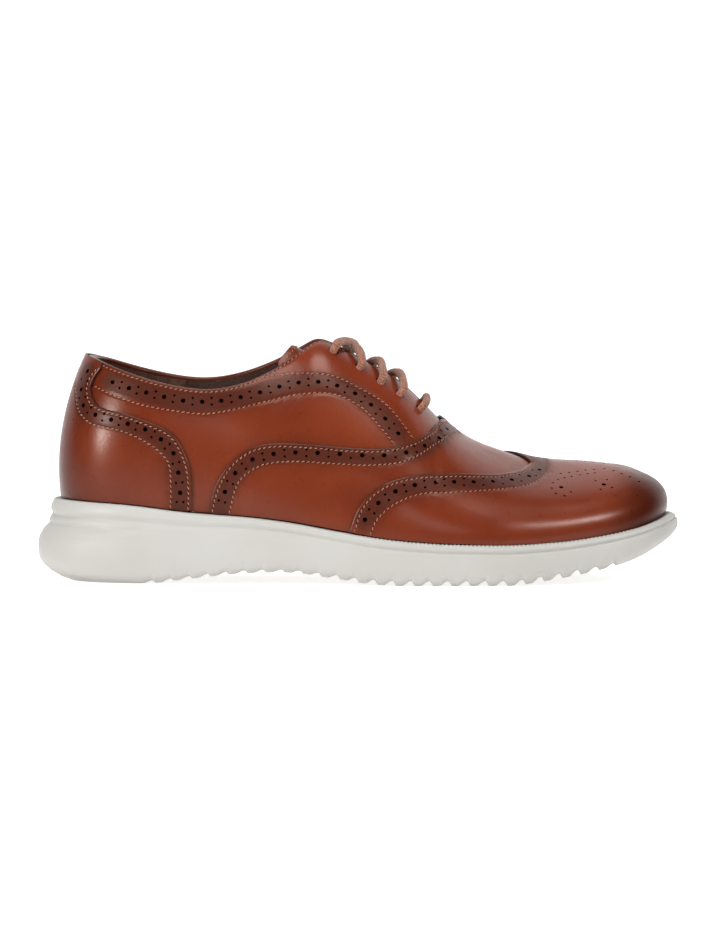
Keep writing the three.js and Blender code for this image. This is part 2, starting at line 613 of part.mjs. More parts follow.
const FINISHES = {
  leather: { color: 0x7f3420, roughness: 0.42, metalness: 0 },
  lining: { color: 0x4a2a1c, roughness: 0.95, metalness: 0 },
  suede: { color: 0x6b3a22, roughness: 0.95, metalness: 0 },
  board: { color: 0xb39a78, roughness: 0.9, metalness: 0 },
  foam: { color: 0xd5d2cb, roughness: 0.6, metalness: 0 },
  lace: { color: 0x94502f, roughness: 0.85, metalness: 0 },
  tip: { color: 0x3a1d12, roughness: 0.3, metalness: 0 },
  brass: { color: 0x8a6a3a, roughness: 0.4, metalness: 0.9 },
};

const shoe = new THREE.Group();

function add(name, geometry, finish) {
  const mesh = new THREE.Mesh(geometry, new THREE.MeshStandardMaterial(FINISHES[finish]));
  mesh.name = name;
  shoe.add(mesh);
}

add("sole_unit", soleUnit(), "foam");
add("insole_board", insoleBoard(), "board");
add("sock_liner", sockLiner(), "suede");
add("vamp_lining", vampLining(), "lining");
add("toe_puff", toePuff(), "board");
add("heel_stiffener", heelStiffener(), "board");
add("collar_pad", collarPad(), "lining");
add("heel_grip", heelGrip(), "suede");
add("vamp", vamp(), "leather");
add("wing_cap", wingCap(), "leather");
add("heel_counter", heelCounter(), "leather");
for (const [side, word] of [[LATERAL, "lateral"], [MEDIAL, "medial"]]) {
  add(`quarter_${word}`, quarter(side), "leather");
  add(`facing_stay_${word}`, facingStay(side), "lining");
  add(`quarter_lining_${word}`, quarterLining(side), "lining");
  EYELETS.forEach((_, index) => add(`eyelet_${word}_${index + 1}`, eyeletRing(side, index), "brass"));
}
add("tongue", tongue(), "leather");
add("tongue_lining", tongueLining(), "lining");
add("lace", laceTube(), "lace");
add("aglet_lateral", aglet(LACE_ROUTE[0], LACE_ROUTE[1]), "tip");
add("aglet_medial", aglet(LACE_ROUTE.at(-1), LACE_ROUTE.at(-2)), "tip");

const box = new THREE.Box3().setFromObject(shoe);
const middle = box.getCenter(new THREE.Vector3());
shoe.position.set(-middle.x, -middle.y, -box.min.z);

export default shoe;
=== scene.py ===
import math
import random

import bpy
import numpy as np
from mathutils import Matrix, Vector
from mathutils.geometry import delaunay_2d_cdt


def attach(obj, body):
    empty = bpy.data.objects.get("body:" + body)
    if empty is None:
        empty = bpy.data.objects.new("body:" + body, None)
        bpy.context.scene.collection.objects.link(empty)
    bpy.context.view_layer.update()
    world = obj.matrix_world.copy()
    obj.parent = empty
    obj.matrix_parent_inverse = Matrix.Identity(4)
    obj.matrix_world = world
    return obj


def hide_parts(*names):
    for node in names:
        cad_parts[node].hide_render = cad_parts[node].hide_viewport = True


# A wing-tip oxford on a foam sole. Lengths are millimetres from the back of the sole until place()
# makes them metres.
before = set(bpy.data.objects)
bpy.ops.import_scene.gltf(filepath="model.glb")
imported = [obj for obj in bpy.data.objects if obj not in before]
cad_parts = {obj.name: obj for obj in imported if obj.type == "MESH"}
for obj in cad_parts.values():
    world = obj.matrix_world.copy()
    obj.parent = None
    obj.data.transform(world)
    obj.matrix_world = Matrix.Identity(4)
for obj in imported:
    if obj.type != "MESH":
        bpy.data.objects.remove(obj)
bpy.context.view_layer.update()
rowShift = np.array([-152.3, 0.143, 0.0])
random.seed(7)
scene = bpy.context.scene


def place(points):
    return (np.asarray(points, float) + rowShift) * 0.001


view = {"target": (0.0009, 0.0, 0.0545), "distance": 3.0, "elevation": 3.0, "lens": 244.6}
scene.view_settings.view_transform = "Standard"


def addCamera():
    camera = bpy.data.objects.new("camera", bpy.data.cameras.new("camera"))
    scene.collection.objects.link(camera)
    tilt = math.radians(view["elevation"])
    back = Vector((0, -math.cos(tilt), math.sin(tilt)))
    camera.location = Vector(view["target"]) + back * view["distance"]
    camera.rotation_euler = (-back).to_track_quat("-Z", "Y").to_euler()
    camera.data.lens = view["lens"]
    camera.data.clip_start, camera.data.clip_end = 0.05, 60
    scene.camera = camera


studio = {
    "top": {"at": (0, -0.55, 1.5), "size": 0.9, "power": 19},
    "left": {"at": (-1.0, -0.85, 0.43), "size": 0.3, "power": 11},
    "right": {"at": (0.95, -1.0, 0.9), "size": 0.3, "power": 9.5},
    "front": {"at": (0.0, -2.6, 0.9), "size": 0.4, "power": 3},
}

roomGlow = 0.08


def addLights():
    for name, facts in studio.items():
        lamp = bpy.data.objects.new(name + "Light", bpy.data.lights.new(name + "Light", "AREA"))
        scene.collection.objects.link(lamp)
        lamp.data.shape = "SQUARE"
        lamp.data.size = facts["size"]
        lamp.data.energy = facts["power"]
        lamp.location = facts["at"]
        lamp.rotation_euler = (Vector((0, 0, 0.05)) - lamp.location).to_track_quat("-Z", "Y").to_euler()
    world = bpy.data.worlds.new("room")
    scene.world = world
    world.use_nodes = True
    world.node_tree.nodes["Background"].inputs[0].default_value = (1, 1, 1, 1)
    world.node_tree.nodes["Background"].inputs[1].default_value = roomGlow


addCamera()
addLights()
print("camera and lights ready")


def newFinish(name, roughness=0.5):
    finish = bpy.data.materials.new(name)
    finish.use_nodes = True
    tree = finish.node_tree
    shader = tree.nodes["Principled BSDF"]
    shader.inputs["Roughness"].default_value = roughness
    return finish, tree, shader


def node(tree, kind, **values):
    made = tree.nodes.new("ShaderNode" + kind)
    for key, value in values.items():
        if hasattr(made, key):
            setattr(made, key, value)
        else:
            made.inputs[key.replace("_", " ")].default_value = value
    return made


def mixColour(tree, share, first, second, blend="MIX"):
    made = tree.nodes.new("ShaderNodeMix")
    made.data_type = "RGBA"
    made.blend_type = blend
    for socket, value in ((made.inputs[0], share), (made.inputs[6], first), (made.inputs[7], second)):
        if isinstance(value, bpy.types.NodeSocket):
            tree.links.new(value, socket)
        else:
            socket.default_value = value
    return made.outputs[2]


def mathNode(tree, operation, first, second=0.5, third=0.0):
    made = tree.nodes.new("ShaderNodeMath")
    made.operation = operation
    for socket, value in zip(made.inputs, (first, second, third)):
        if isinstance(value, bpy.types.NodeSocket):
            tree.links.new(value, socket)
        else:
            socket.default_value = value
    return made.outputs[0]


def noise(tree, scale, detail=3.0, rough=0.55, vector=None):
    made = node(tree, "TexNoise", Scale=scale, Detail=detail, Roughness=rough)
    source = vector or tree.nodes.new("ShaderNodeTexCoord").outputs["Object"]
    tree.links.new(source, made.inputs["Vector"])
    return made.outputs["Fac"]


def spreadOver(tree, value, low, high, outLow=0.0, outHigh=1.0):
    made = node(tree, "MapRange", From_Min=low, From_Max=high, To_Min=outLow, To_Max=outHigh)
    tree.links.new(value, made.inputs["Value"])
    return made.outputs["Result"]


def bump(tree, shader, height, strength, distance):
    made = node(tree, "Bump", Strength=strength, Distance=distance)
    tree.links.new(height, made.inputs["Height"])
    tree.links.new(made.outputs["Normal"], shader.inputs["Normal"])
    return made


leatherLook = {"tan": (0.163, 0.025, 0.0065, 1), "brown": (0.122, 0.0165, 0.0042, 1),
               "dark": (0.02, 0.0022, 0.001, 1),
               "band": (0.066, 0.0125, 0.006, 1), "roughness": (0.26, 0.36), "grain": 0.10, "polish": 0.34}


def leatherFinish():
    finish, tree, shader = newFinish("burnishedLeather")
    tone = node(tree, "Attribute", attribute_name="tone")
    parts = tree.nodes.new("ShaderNodeSeparateColor")
    tree.links.new(tone.outputs["Color"], parts.inputs[0])
    burnish, band, edge = parts.outputs
    cloud = spreadOver(tree, noise(tree, 22, 4), 0.35, 0.68)
    fleck = spreadOver(tree, noise(tree, 260, 5, 0.6), 0.4, 0.7)
    colour = mixColour(tree, cloud, leatherLook["tan"], leatherLook["brown"])
    colour = mixColour(tree, mathNode(tree, "MULTIPLY", fleck, 0.1), colour, leatherLook["brown"])
    colour = mixColour(tree, band, colour, leatherLook["band"])
    patch = mathNode(tree, "MULTIPLY_ADD", noise(tree, 60, 3), 0.5, -0.25)
    soft = mathNode(tree, "MULTIPLY", burnish, mathNode(tree, "SUBTRACT", 1.0, burnish))
    worn = mathNode(tree, "MULTIPLY_ADD", soft, patch, burnish)
    colour = mixColour(tree, worn, colour, leatherLook["dark"])
    # painted shade along the free edges, the seams and the hole walls
    colour = mixColour(tree, edge, colour, (0.03, 0.008, 0.005, 1))
    tree.links.new(colour, shader.inputs["Base Color"])
    pores = node(tree, "TexVoronoi", Scale=1400.0)
    tree.links.new(tree.nodes.new("ShaderNodeTexCoord").outputs["Object"], pores.inputs["Vector"])
    creases = noise(tree, 520, 5, 0.65)
    height = mathNode(tree, "MULTIPLY_ADD", pores.outputs["Distance"], 0.5, creases)
    bump(tree, shader, height, leatherLook["grain"], 0.0006)
    rough = spreadOver(tree, noise(tree, 180, 4), 0.3, 0.7, *leatherLook["roughness"])
    rough = mathNode(tree, "MULTIPLY_ADD", band, 0.1, rough)
    tree.links.new(rough, shader.inputs["Roughness"])
    polish = mathNode(tree, "MULTIPLY", mathNode(tree, "SUBTRACT", 1.0, burnish), leatherLook["polish"])
    polish = mathNode(tree, "MULTIPLY", polish, mathNode(tree, "MULTIPLY_ADD", band, -0.5, 1.0))
    tree.links.new(polish, shader.inputs["Coat Weight"])
    shader.inputs["Coat Roughness"].default_value = 0.23
    shader.inputs["Specular IOR Level"].default_value = 0.2
    shader.inputs["Specular Tint"].default_value = (1, 0.6, 0.45, 1)
    return finish


def plainFinish(name, light, dark, scale, roughness, grain, distance=0.0004, weave=0.0):
    finish, tree, shader = newFinish(name, roughness)
    cloud = spreadOver(tree, noise(tree, scale, 5, 0.65), 0.35, 0.65)
    tree.links.new(mixColour(tree, cloud, light, dark), shader.inputs["Base Color"])
    height = noise(tree, scale * 2.2, 4, 0.7)
    if weave:
        coords = tree.nodes.new("ShaderNodeTexCoord").outputs["Object"]
        lines = []
        for direction in ("X", "Z"):
            wave = node(tree, "TexWave", bands_direction=direction, Scale=weave, Distortion=0.6)
            tree.links.new(coords, wave.inputs["Vector"])
            lines.append(wave.outputs["Fac"])
        height = mathNode(tree, "MULTIPLY_ADD", mathNode(tree, "MULTIPLY", *lines), 1.2, height)
    bump(tree, shader, height, grain, distance)
    return finish


def threadFinish():
    finish, tree, shader = newFinish("stitchThread", 0.7)
    cloud = spreadOver(tree, noise(tree, 1500, 2), 0.35, 0.65)
    tree.links.new(mixColour(tree, cloud, (0.36, 0.155, 0.09, 1), (0.2, 0.066, 0.033, 1)),
                   shader.inputs["Base Color"])
    bump(tree, shader, noise(tree, 5200, 2), 0.5, 0.0002)
    return finish


def laceFinish():
    finish, tree, shader = newFinish("wovenLace", 0.78)
    uv = tree.nodes.new("ShaderNodeUVMap")
    uv.uv_map = "around"
    parts = tree.nodes.new("ShaderNodeSeparateXYZ")
    tree.links.new(uv.outputs[0], parts.inputs[0])
    around, along = parts.outputs[0], parts.outputs[1]
    waves = []
    for turn in (1, -1):
        slope = mathNode(tree, "MULTIPLY_ADD", around, 8.0 * turn, mathNode(tree, "MULTIPLY", along, 0.62))
        waves.append(mathNode(tree, "SINE", mathNode(tree, "MULTIPLY", slope, 2 * math.pi)))
    weave = mathNode(tree, "MULTIPLY", *waves)
    over = spreadOver(tree, weave, -0.6, 0.8)
    fleck = spreadOver(tree, noise(tree, 900, 3), 0.45, 0.62)
    # painted shade: the colour darkens into the grooves between the woven strands
    colour = mixColour(tree, over, (0.095, 0.027, 0.013, 1), (0.3, 0.104, 0.052, 1))
    colour = mixColour(tree, mathNode(tree, "MULTIPLY", fleck, 0.55), colour, (0.4, 0.17, 0.095, 1))
    tree.links.new(colour, shader.inputs["Base Color"])
    bump(tree, shader, over, 0.7, 0.0003)
    shader.inputs["Sheen Weight"].default_value = 0.25
    return finish


def foamFinish():
    finish, tree, shader = newFinish("soleFoam", 0.55)
    cloud = spreadOver(tree, noise(tree, 18, 3), 0.3, 0.7)
    colour = mixColour(tree, cloud, (0.375, 0.367, 0.345, 1), (0.35, 0.34, 0.315, 1))
    # tone darkens the foam to a grey: painted shade along the bottom of the sole
    tone = node(tree, "Attribute", attribute_name="tone")
    colour = mixColour(tree, tone.outputs["Fac"], colour, (0.25, 0.24, 0.21, 1))
    tree.links.new(colour, shader.inputs["Base Color"])
    bump(tree, shader, noise(tree, 1300, 3), 0.06, 0.0004)
    tree.links.new(spreadOver(tree, noise(tree, 90, 3), 0.3, 0.7, 0.48, 0.62), shader.inputs["Roughness"])
    return finish


finishes = {
    "leather": leatherFinish(),
    "edge": plainFinish("edgePaint", (0.035, 0.01, 0.006, 1), (0.015, 0.005, 0.003, 1), 300, 0.42, 0.2),
    # holeShade: near-black, unreflecting painted shade for the pit floors, the deep hole walls and the needle
    # holes
    "holeShade": plainFinish("paintedHoleShade", (0.006, 0.0015, 0.001, 1), (0.003, 0.001, 0.0005, 1), 500, 1.0, 0.1),
    "thread": threadFinish(),
    "lace": laceFinish(),
    "suede": plainFinish("heelSuede", (0.105, 0.044, 0.026, 1), (0.062, 0.023, 0.013, 1), 420, 0.95, 0.9,
                         0.0006),
    "textile": plainFinish("liningCloth", (0.058, 0.02, 0.011, 1), (0.034, 0.011, 0.006, 1), 600, 0.92, 0.7,
                           0.0005, 420),
    "board": plainFinish("pressedFibre", (0.5, 0.38, 0.24, 1), (0.36, 0.25, 0.14, 1), 240, 0.85, 0.4),
    "foam": foamFinish(),
    "tip": plainFinish("tipFilm", (0.035, 0.012, 0.007, 1), (0.02, 0.007, 0.004, 1), 300, 0.25, 0.05),
    "brass": plainFinish("agedBrass", (0.5, 0.34, 0.14, 1), (0.3, 0.18, 0.07, 1), 700, 0.35, 0.15),
}
finishes["holeShade"].node_tree.nodes["Principled BSDF"].inputs["Specular IOR Level"].default_value = 0.0
finishes["brass"].node_tree.nodes["Principled BSDF"].inputs["Metallic"].default_value = 1.0
print("finishes ready")


# foot x, lateral and medial half width; top x, half widths, heights; bulge, rise, pull, drop, tilt
stations = np.array([
    [12.5, 0, 0, 24.2, 0, 0, 106.5, 106.5, 3, 23, .83, 20.5, 0],
    [15.5, 14, 14, 26.8, 10.5, 10.5, 105.3, 106, 3, 23, .8, 20, 0],
    [25.5, 25.5, 25, 34.5, 20, 20, 101.8, 103.5, 3, 22, .75, 19, 0],
    [43, 32, 31.5, 52, 28, 28, 95.8, 98.2, 2.8, 20, .8, 17, 0],
    [68, 34, 31.5, 75, 30.5, 30, 91, 94, 2.5, 20, .9, 16, 0],
    [92, 36, 30, 95, 28.5, 28, 92.8, 96, 2, 20, .85, 18, 0],
    [112, 39, 30.5, 113, 22, 22, 100.6, 103, 1, 24, .75, 18, 0],
    [126, 41.5, 32.5, 127, 14.5, 14.5, 110, 111.2, .5, 28, .65, 12, 0],
    [137, 43.5, 35, 137, 9.8, 9.8, 113.2, 113.4, 0, 32, .6, 6, 0],
    [153, 46.3, 38.5, 154, 8.4, 8.4, 104.8, 104.8, 0, 32, .56, 4, 0],
    [171, 48.6, 43, 173, 6.8, 6.8, 93.4, 93.4, 0, 28, .56, 4, 0],
    [188, 49.7, 46.5, 191, 0, 0, 76, 76, 0, 22, .6, 0, .1],
    [205, 49.6, 48.8, 204, 0, 0, 65, 65, .5, 18, .62, 0, .2],
    [222, 47.7, 49.4, 218, 0, 0, 58, 58, 1, 16, .64, 0, .3],
    [240, 43, 46.8, 232, 0, 0, 53.2, 53.2, 1.5, 15, .66, 0, .3],
    [257, 37.6, 42.8, 246, 0, 0, 51.2, 51.2, 2, 14, .68, 0, .3],
    [272, 31.6, 37.2, 258, 0, 0, 50.8, 50.8, 2.2, 13, .7, 0, .28],
    [284, 24, 29.5, 268, 0, 0, 50.5, 50.5, 2.4, 12, .72, 0, .22],
    [292.3, 13.4, 19, 276.5, 0, 0, 49.9, 49.9, 2.5, 11, .74, 0, .12],
    [295.8, -2.9, 2.9, 284, 0, 0, 48.4, 48.4, 2.4, 9, .75, 1, 0],
])
feather = [(-10, 39.6), (10, 38.8), (40, 37.2), (75, 33.2), (100, 31.5), (120, 29.2), (145, 24.9), (170, 21),
           (195, 19.2), (220, 18.7), (245, 19.8), (265, 22.2), (280, 25.3), (290, 28.9), (296, 31.8),
           (312, 40)]
tread = [(-10, 10), (6, 4), (18, 0), (50, 0), (75, 2.6), (100, 5.2), (118, 5.8), (140, 3.4), (160, .6),
         (172, 0), (222, 0), (240, 2), (258, 5), (275, 9), (285, 12.6), (291, 16.2), (296, 20), (312, 32)]
lastStation = len(stations) - 1
throatU = 11 / lastStation
lateral, medial = -1, 1


def spline(values):
    # second derivatives of a smooth curve through equally spaced values
    count = len(values)
    system = np.eye(count)
    right = np.zeros(count)
    for i in range(1, count - 1):
        system[i, i - 1:i + 2] = (1, 4, 1)
        right[i] = 6 * (values[i - 1] - 2 * values[i] + values[i + 1])
    return np.linalg.solve(system, right)


def stationCurve(column, mate=None):
    # past the heel and the toe the values carry on from the other side
    core = list(stations[:, column])
    other = core if mate is None else list(-stations[:, mate])
    reach = 6
    values = np.array(other[reach:0:-1] + core + other[-2:-2 - reach:-1])
    return values, spline(values), reach


curves = {}
for side, own, mate in ((lateral, 0, 1), (medial, 1, 0)):
    curves[side] = {
        "footX": stationCurve(0), "foot": stationCurve(1 + own, 1 + mate), "topX": stationCurve(3),
        "top": stationCurve(4 + own, 4 + mate), "topZ": stationCurve(6 + own),
        "form": [stationCurve(8 + k) for k in range(5)],
    }


def blend(curve, u):
    values, seconds, reach = curve
    s = np.clip(u, 0, 1) * lastStation
    i = np.minimum(s.astype(int), lastStation - 1)
    t = s - i
    k = i + reach
    a, b = 1 - t, t
    return (a * values[k] + b * values[k + 1]
            + ((a ** 3 - a) * seconds[k] + (b ** 3 - b) * seconds[k + 1]) / 6)


def along(points, x):
    # smooth curve through points that never overshoots them
    p = np.array(points, float)
    secant = np.diff(p[:, 1]) / np.diff(p[:, 0])
    inner = np.where(secant[:-1] * secant[1:] > 0,
                     2 * secant[:-1] * secant[1:] / np.where(secant[:-1] + secant[1:] == 0, 1,
                                                             secant[:-1] + secant[1:]), 0)
    slope = np.concatenate([[secant[0]], inner, [secant[-1]]])
    x = np.asarray(x, float)
    k = np.clip(np.searchsorted(p[:, 0], x, side="left"), 1, len(p) - 1)
    span = p[k, 0] - p[k - 1, 0]
    t = np.clip((x - p[k - 1, 0]) / span, 0, 1)
    r = 1 - t
    return (p[k - 1, 1] * (1 + 2 * t) * r * r + slope[k - 1] * span * t * r * r
            + p[k, 1] * t * t * (3 - 2 * t) - slope[k] * span * t * t * r)


def smoothstep(low, high, x):
    t = np.clip((np.asarray(x, float) - low) / (high - low), 0, 1)
    return t * t * (3 - 2 * t)


def footPoint(side, u):
    c = curves[side]
    x = blend(c["footX"], u)
    return np.stack([x, side * blend(c["foot"], u), along(feather, x) + 0.7], -1)


def topPoint(side, u):
    c = curves[side]
    x = blend(c["topX"], u)
    half = np.where(u >= throatU, 0, blend(c["top"], u))
    return np.stack([x, 0.01 * x + side * half, blend(c["topZ"], u)], -1)


def lastPoint(side, u, v):
    u, v = np.broadcast_arrays(np.asarray(u, float), np.asarray(v, float))
    foot, top = footPoint(side, u), topPoint(side, u)
    bulge, rise, pull, drop, tilt = (blend(curve, u) for curve in curves[side]["form"])
    out = foot - top
    out[..., 2] = 0
    low = foot + out / np.maximum(np.linalg.norm(out, axis=-1), 1e-9)[..., None] * bulge[..., None]
    low[..., 2] += rise
    high = top + out * pull[..., None]
    a = topPoint(lateral, np.maximum(u - 0.004, 0))
    b = topPoint(lateral, np.minimum(u + 0.004, 1))
    slope = np.where(u > throatU, (b[..., 2] - a[..., 2]) / np.maximum(b[..., 0] - a[..., 0], 1e-6), 0)
    high[..., 2] += slope * pull * out[..., 0] + side * tilt * pull * np.abs(out[..., 1]) - drop
    v = v[..., None]
    w = 1 - v
    return foot * w ** 3 + low * 3 * w * w * v + high * 3 * w * v * v + top * v ** 3


def sideNormal(side, u, v):
    step = 0.002
    v = np.minimum(v, 1 - 0.06 * smoothstep(0.86, 0.96, u))
    u0, u1 = np.maximum(u - step, 0), np.minimum(u + step, 1)
    v0, v1 = np.maximum(v - step, 0), np.minimum(v + step, 1)
    du = lastPoint(side, u1, v) - lastPoint(side, u0, v)
    dv = lastPoint(side, u, v1) - lastPoint(side, u, v0)
    n = np.cross(du, dv) * -side
    return n / np.maximum(np.linalg.norm(n, axis=-1), 1e-12)[..., None]


def onLast(side, u, v, distance):
    # points at a distance outside the last; both sides agree on the lines that they share
    u, v, distance = np.broadcast_arrays(*(np.asarray(a, float) for a in (u, v, distance)))
    point, normal = lastPoint(side, u, v), sideNormal(side, u, v)
    end = (u < 1e-6) | (u > 1 - 1e-6)
    shared = end | ((v > 1 - 1e-6) & (u >= throatU - 1e-6))
    if shared.any():
        us, vs = u[shared], v[shared]
        normal[shared] = sideNormal(lateral, us, vs) + sideNormal(medial, us, vs)
        point[shared] = lastPoint(lateral, us, vs)
    normal[end, 1] = 0
    normal /= np.maximum(np.linalg.norm(normal, axis=-1), 1e-12)[..., None]
    return point + normal * distance[..., None]


def slopes(side, u, v):
    step = 0.0015
    u0, u1 = np.maximum(u - step, 0), np.minimum(u + step, 1)
    v0, v1 = np.maximum(v - step, 0), np.minimum(v + step, 1)
    du = (lastPoint(side, u1, v) - lastPoint(side, u0, v)) / (u1 - u0)[..., None]
    dv = (lastPoint(side, u, v1) - lastPoint(side, u, v0)) / (v1 - v0)[..., None]
    return du, dv


def stepUV(side, u, v, move):
    # change of u and v for a short move in millimetres on the surface
    du, dv = slopes(side, u, v)
    a, b, c = (du * du).sum(-1), (du * dv).sum(-1), (dv * dv).sum(-1)
    p, q = (du * move).sum(-1), (dv * move).sum(-1)
    det = np.maximum(a * c - b * b, 1e-3)
    return (c * p - b * q) / det, (a * q - b * p) / det


sightSlope = math.sin(math.radians(view["elevation"]))


def seenHeight(points):
    # height at which a point shows against the near side
    return points[..., 2] + sightSlope * (points[..., 1] + 45)


def uvAt(places, distance, seen=True):
    # u and v of lateral points given by x and height in side elevation
    places = np.asarray(places, float).reshape(-1, 2)
    gu, gv = np.meshgrid(np.linspace(0, 1, 153), np.linspace(0, 1, 41), indexing="ij")
    grid = onLast(lateral, gu.ravel(), gv.ravel(), distance)
    height = seenHeight if seen else (lambda p: p[..., 2])
    flat = np.stack([grid[:, 0], height(grid)], -1)
    best = np.array([np.argmin(((flat - place) ** 2).sum(1)) for place in places])
    u, v = gu.ravel()[best], gv.ravel()[best]
    step = 0.001
    for _ in range(16):
        here = onLast(lateral, u, v, distance)
        nearU = onLast(lateral, u - step, v, distance)
        nearV = onLast(lateral, u, v - step, distance)
        ax, az = (here[:, 0] - nearU[:, 0]) / step, (height(here) - height(nearU)) / step
        bx, bz = (here[:, 0] - nearV[:, 0]) / step, (height(here) - height(nearV)) / step
        det = ax * bz - bx * az
        good = np.abs(det) > 1
        det = np.where(good, det, 1)
        mx, mz = places[:, 0] - here[:, 0], places[:, 1] - height(here)
        u = np.where(good, np.clip(u + 0.7 * (mx * bz - bx * mz) / det, 1e-6, 0.998), u)
        v = np.where(good, np.clip(v + 0.7 * (ax * mz - mx * az) / det, 0, 1), v)
    return np.stack([u, v], -1)


def topU(x):
    grid = np.linspace(0, 1, 4001)
    return float(np.interp(x, blend(curves[lateral]["topX"], grid), grid))


def roundCurve(points, pitch):
    # centripetal curve through points, at an even pitch
    p = np.asarray(points, float)
    p = np.vstack([2 * p[0] - p[1], p, 2 * p[-1] - p[-2]])
    fine = []
    for k in range(1, len(p) - 2):
        p0, p1, p2, p3 = p[k - 1:k + 3]
        t1 = np.linalg.norm(p1 - p0) ** 0.5
        t2 = t1 + np.linalg.norm(p2 - p1) ** 0.5
        t3 = t2 + np.linalg.norm(p3 - p2) ** 0.5
        t = np.linspace(t1, t2, 24, endpoint=False)[:, None]
        a1 = (t1 - t) / t1 * p0 + t / t1 * p1
        a2 = (t2 - t) / (t2 - t1) * p1 + (t - t1) / (t2 - t1) * p2
        a3 = (t3 - t) / (t3 - t2) * p2 + (t - t2) / (t3 - t2) * p3
        b1 = (t2 - t) / t2 * a1 + t / t2 * a2
        b2 = (t3 - t) / (t3 - t1) * a2 + (t - t1) / (t3 - t1) * a3
        fine.append((t2 - t) / (t2 - t1) * b1 + (t - t1) / (t2 - t1) * b2)
    fine = np.vstack(fine + [p[-2:-1]])
    return evenly(fine, pitch)


def evenly(line, pitch):
    length = np.concatenate([[0], np.cumsum(np.linalg.norm(np.diff(line, axis=0), axis=1))])
    count = max(2, int(round(length[-1] / pitch)) + 1)
    at = np.linspace(0, length[-1], count)
    return np.stack([np.interp(at, length, line[:, k]) for k in range(line.shape[1])], -1)


def surfaceLine(points, distance, tipX=None, pitch=1.2, down=False, seen=True):
    # a line drawn in side elevation, as u and v; tipX carries it to the ridge and down to the feather line
    line = uvAt(roundCurve(points, pitch), distance, seen)
    if down:
        line[0, 1] = max(line[0, 1], 0.0)
        if line[0, 1] > 1e-3:
            du = line[0] - line[1]
            reach = line[0, 1] / max(-du[1], 1e-6)
            line = np.vstack([[line[0, 0] + np.clip(du[0] * reach, -0.02, 0.02), 0.0], line])
        line[0, 1] = 0.0
    if tipX is not None:
        end = np.array([topU(tipX), 1.0])
        keep = line[:, 1] < 0.985
        line = np.vstack([line[keep], evenly(np.vstack([line[keep][-1], end]), 0.01)[1:]])
    return line


def makePiece(name, points, faces, slots, slotOf=None, tone=None, uvs=None, smooth=40, body="shoe"):
    bpy.ops.object.select_all(action="DESELECT")
    mesh = bpy.data.meshes.new(name)
    mesh.from_pydata(place(points).tolist(), [], [tuple(int(i) for i in f) for f in faces])
    for slot in slots:
        mesh.materials.append(finishes[slot])
    if slotOf is not None:
        mesh.polygons.foreach_set("material_index", np.asarray(slotOf, np.int32))
    if tone is not None:
        layer = mesh.attributes.new("tone", "FLOAT_COLOR", "POINT")
        full = np.ones((len(points), 4), np.float32)
        full[:, :3] = tone
        layer.data.foreach_set("color", full.ravel())
    if uvs is not None:
        layer = mesh.uv_layers.new(name="around")
        loops = np.zeros(len(mesh.loops), np.int32)
        mesh.loops.foreach_get("vertex_index", loops)
        layer.data.foreach_set("uv", np.asarray(uvs, np.float32)[loops].ravel())
    piece = bpy.data.objects.new(name, mesh)
    scene.collection.objects.link(piece)
    bpy.context.view_layer.objects.active = piece
    piece.select_set(True)
    bpy.ops.object.mode_set(mode="EDIT")
    bpy.ops.mesh.select_all(action="SELECT")
    bpy.ops.mesh.remove_doubles(threshold=0.000003)
    bpy.ops.object.mode_set(mode="OBJECT")
    bpy.ops.object.shade_smooth_by_angle(angle=math.radians(smooth))
    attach(piece, body)
    return piece


def insideOutline(points, outline):
    x, y = points[:, 0:1], points[:, 1:2]
    ax, ay = outline[:, 0], outline[:, 1]
    bx, by = np.roll(ax, -1), np.roll(ay, -1)
    crossing = (ay > y) != (by > y)
    rise = np.where(by == ay, 1, by - ay)
    return (crossing & (x < (bx - ax) * (y - ay) / rise + ax)).sum(1) % 2 == 1


def nearLine(points, line):
    # shortest distance from each point to a line of points
    best = np.full(len(points), 1e9)
    for a, b in zip(line[:-1], line[1:]):
        d = b - a
        t = np.clip(((points - a) @ d) / max(d @ d, 1e-12), 0, 1)
        best = np.minimum(best, np.linalg.norm(points - (a + t[:, None] * d), axis=1))
    return best


domainScale = np.array([300.0, 80.0])


def triangulate(outline, loops, extra):
    # triangles of a region of u and v with round holes left open
    loopPoints = np.vstack(loops) if loops else np.zeros((0, 2))
    everything = np.vstack([outline, loopPoints, extra]) * domainScale
    edges = [(i, (i + 1) % len(outline)) for i in range(len(outline))]
    start = len(outline)
    for loop in loops:
        edges += [(start + i, start + (i + 1) % len(loop)) for i in range(len(loop))]
        start += len(loop)
    found = delaunay_2d_cdt([Vector(p) for p in everything], edges, [], 0, 1e-7)
    points = np.array([tuple(p) for p in found[0]]) / domainScale
    triangles = np.array([tuple(f) for f in found[2]])
    middle = points[triangles].mean(1)
    keep = insideOutline(middle * domainScale, outline * domainScale)
    for loop in loops:
        near = np.linalg.norm((middle - loop.mean(0)) * domainScale, axis=1) < 6
        inside = np.zeros(len(middle), bool)
        inside[near] = insideOutline(middle[near] * domainScale, loop * domainScale)
        keep &= ~inside
    triangles = triangles[keep]
    p = points[triangles]
    area = np.cross(p[:, 1] - p[:, 0], p[:, 2] - p[:, 0])
    triangles[area < 0] = triangles[area < 0][:, ::-1]
    return points, triangles[np.abs(area) > 1e-12]


def circleLoop(side, centre, radius, count):
    # a round hole on the surface, as u and v
    u, v = np.full(count, centre[0]), np.full(count, centre[1])
    du, dv = slopes(side, u[:1], v[:1])
    first = du[0] / np.linalg.norm(du[0])
    second = dv[0] - (dv[0] @ first) * first
    second /= np.linalg.norm(second)
    turn = np.linspace(0, 2 * math.pi, count, endpoint=False)
    move = radius * (np.cos(turn)[:, None] * first + np.sin(turn)[:, None] * second)
    a, b = stepUV(side, u, v, move)
    return np.stack([u + a, v + b], -1)


def meshPoints(side, uv, distance):
    return onLast(side, uv[:, 0], uv[:, 1], distance)


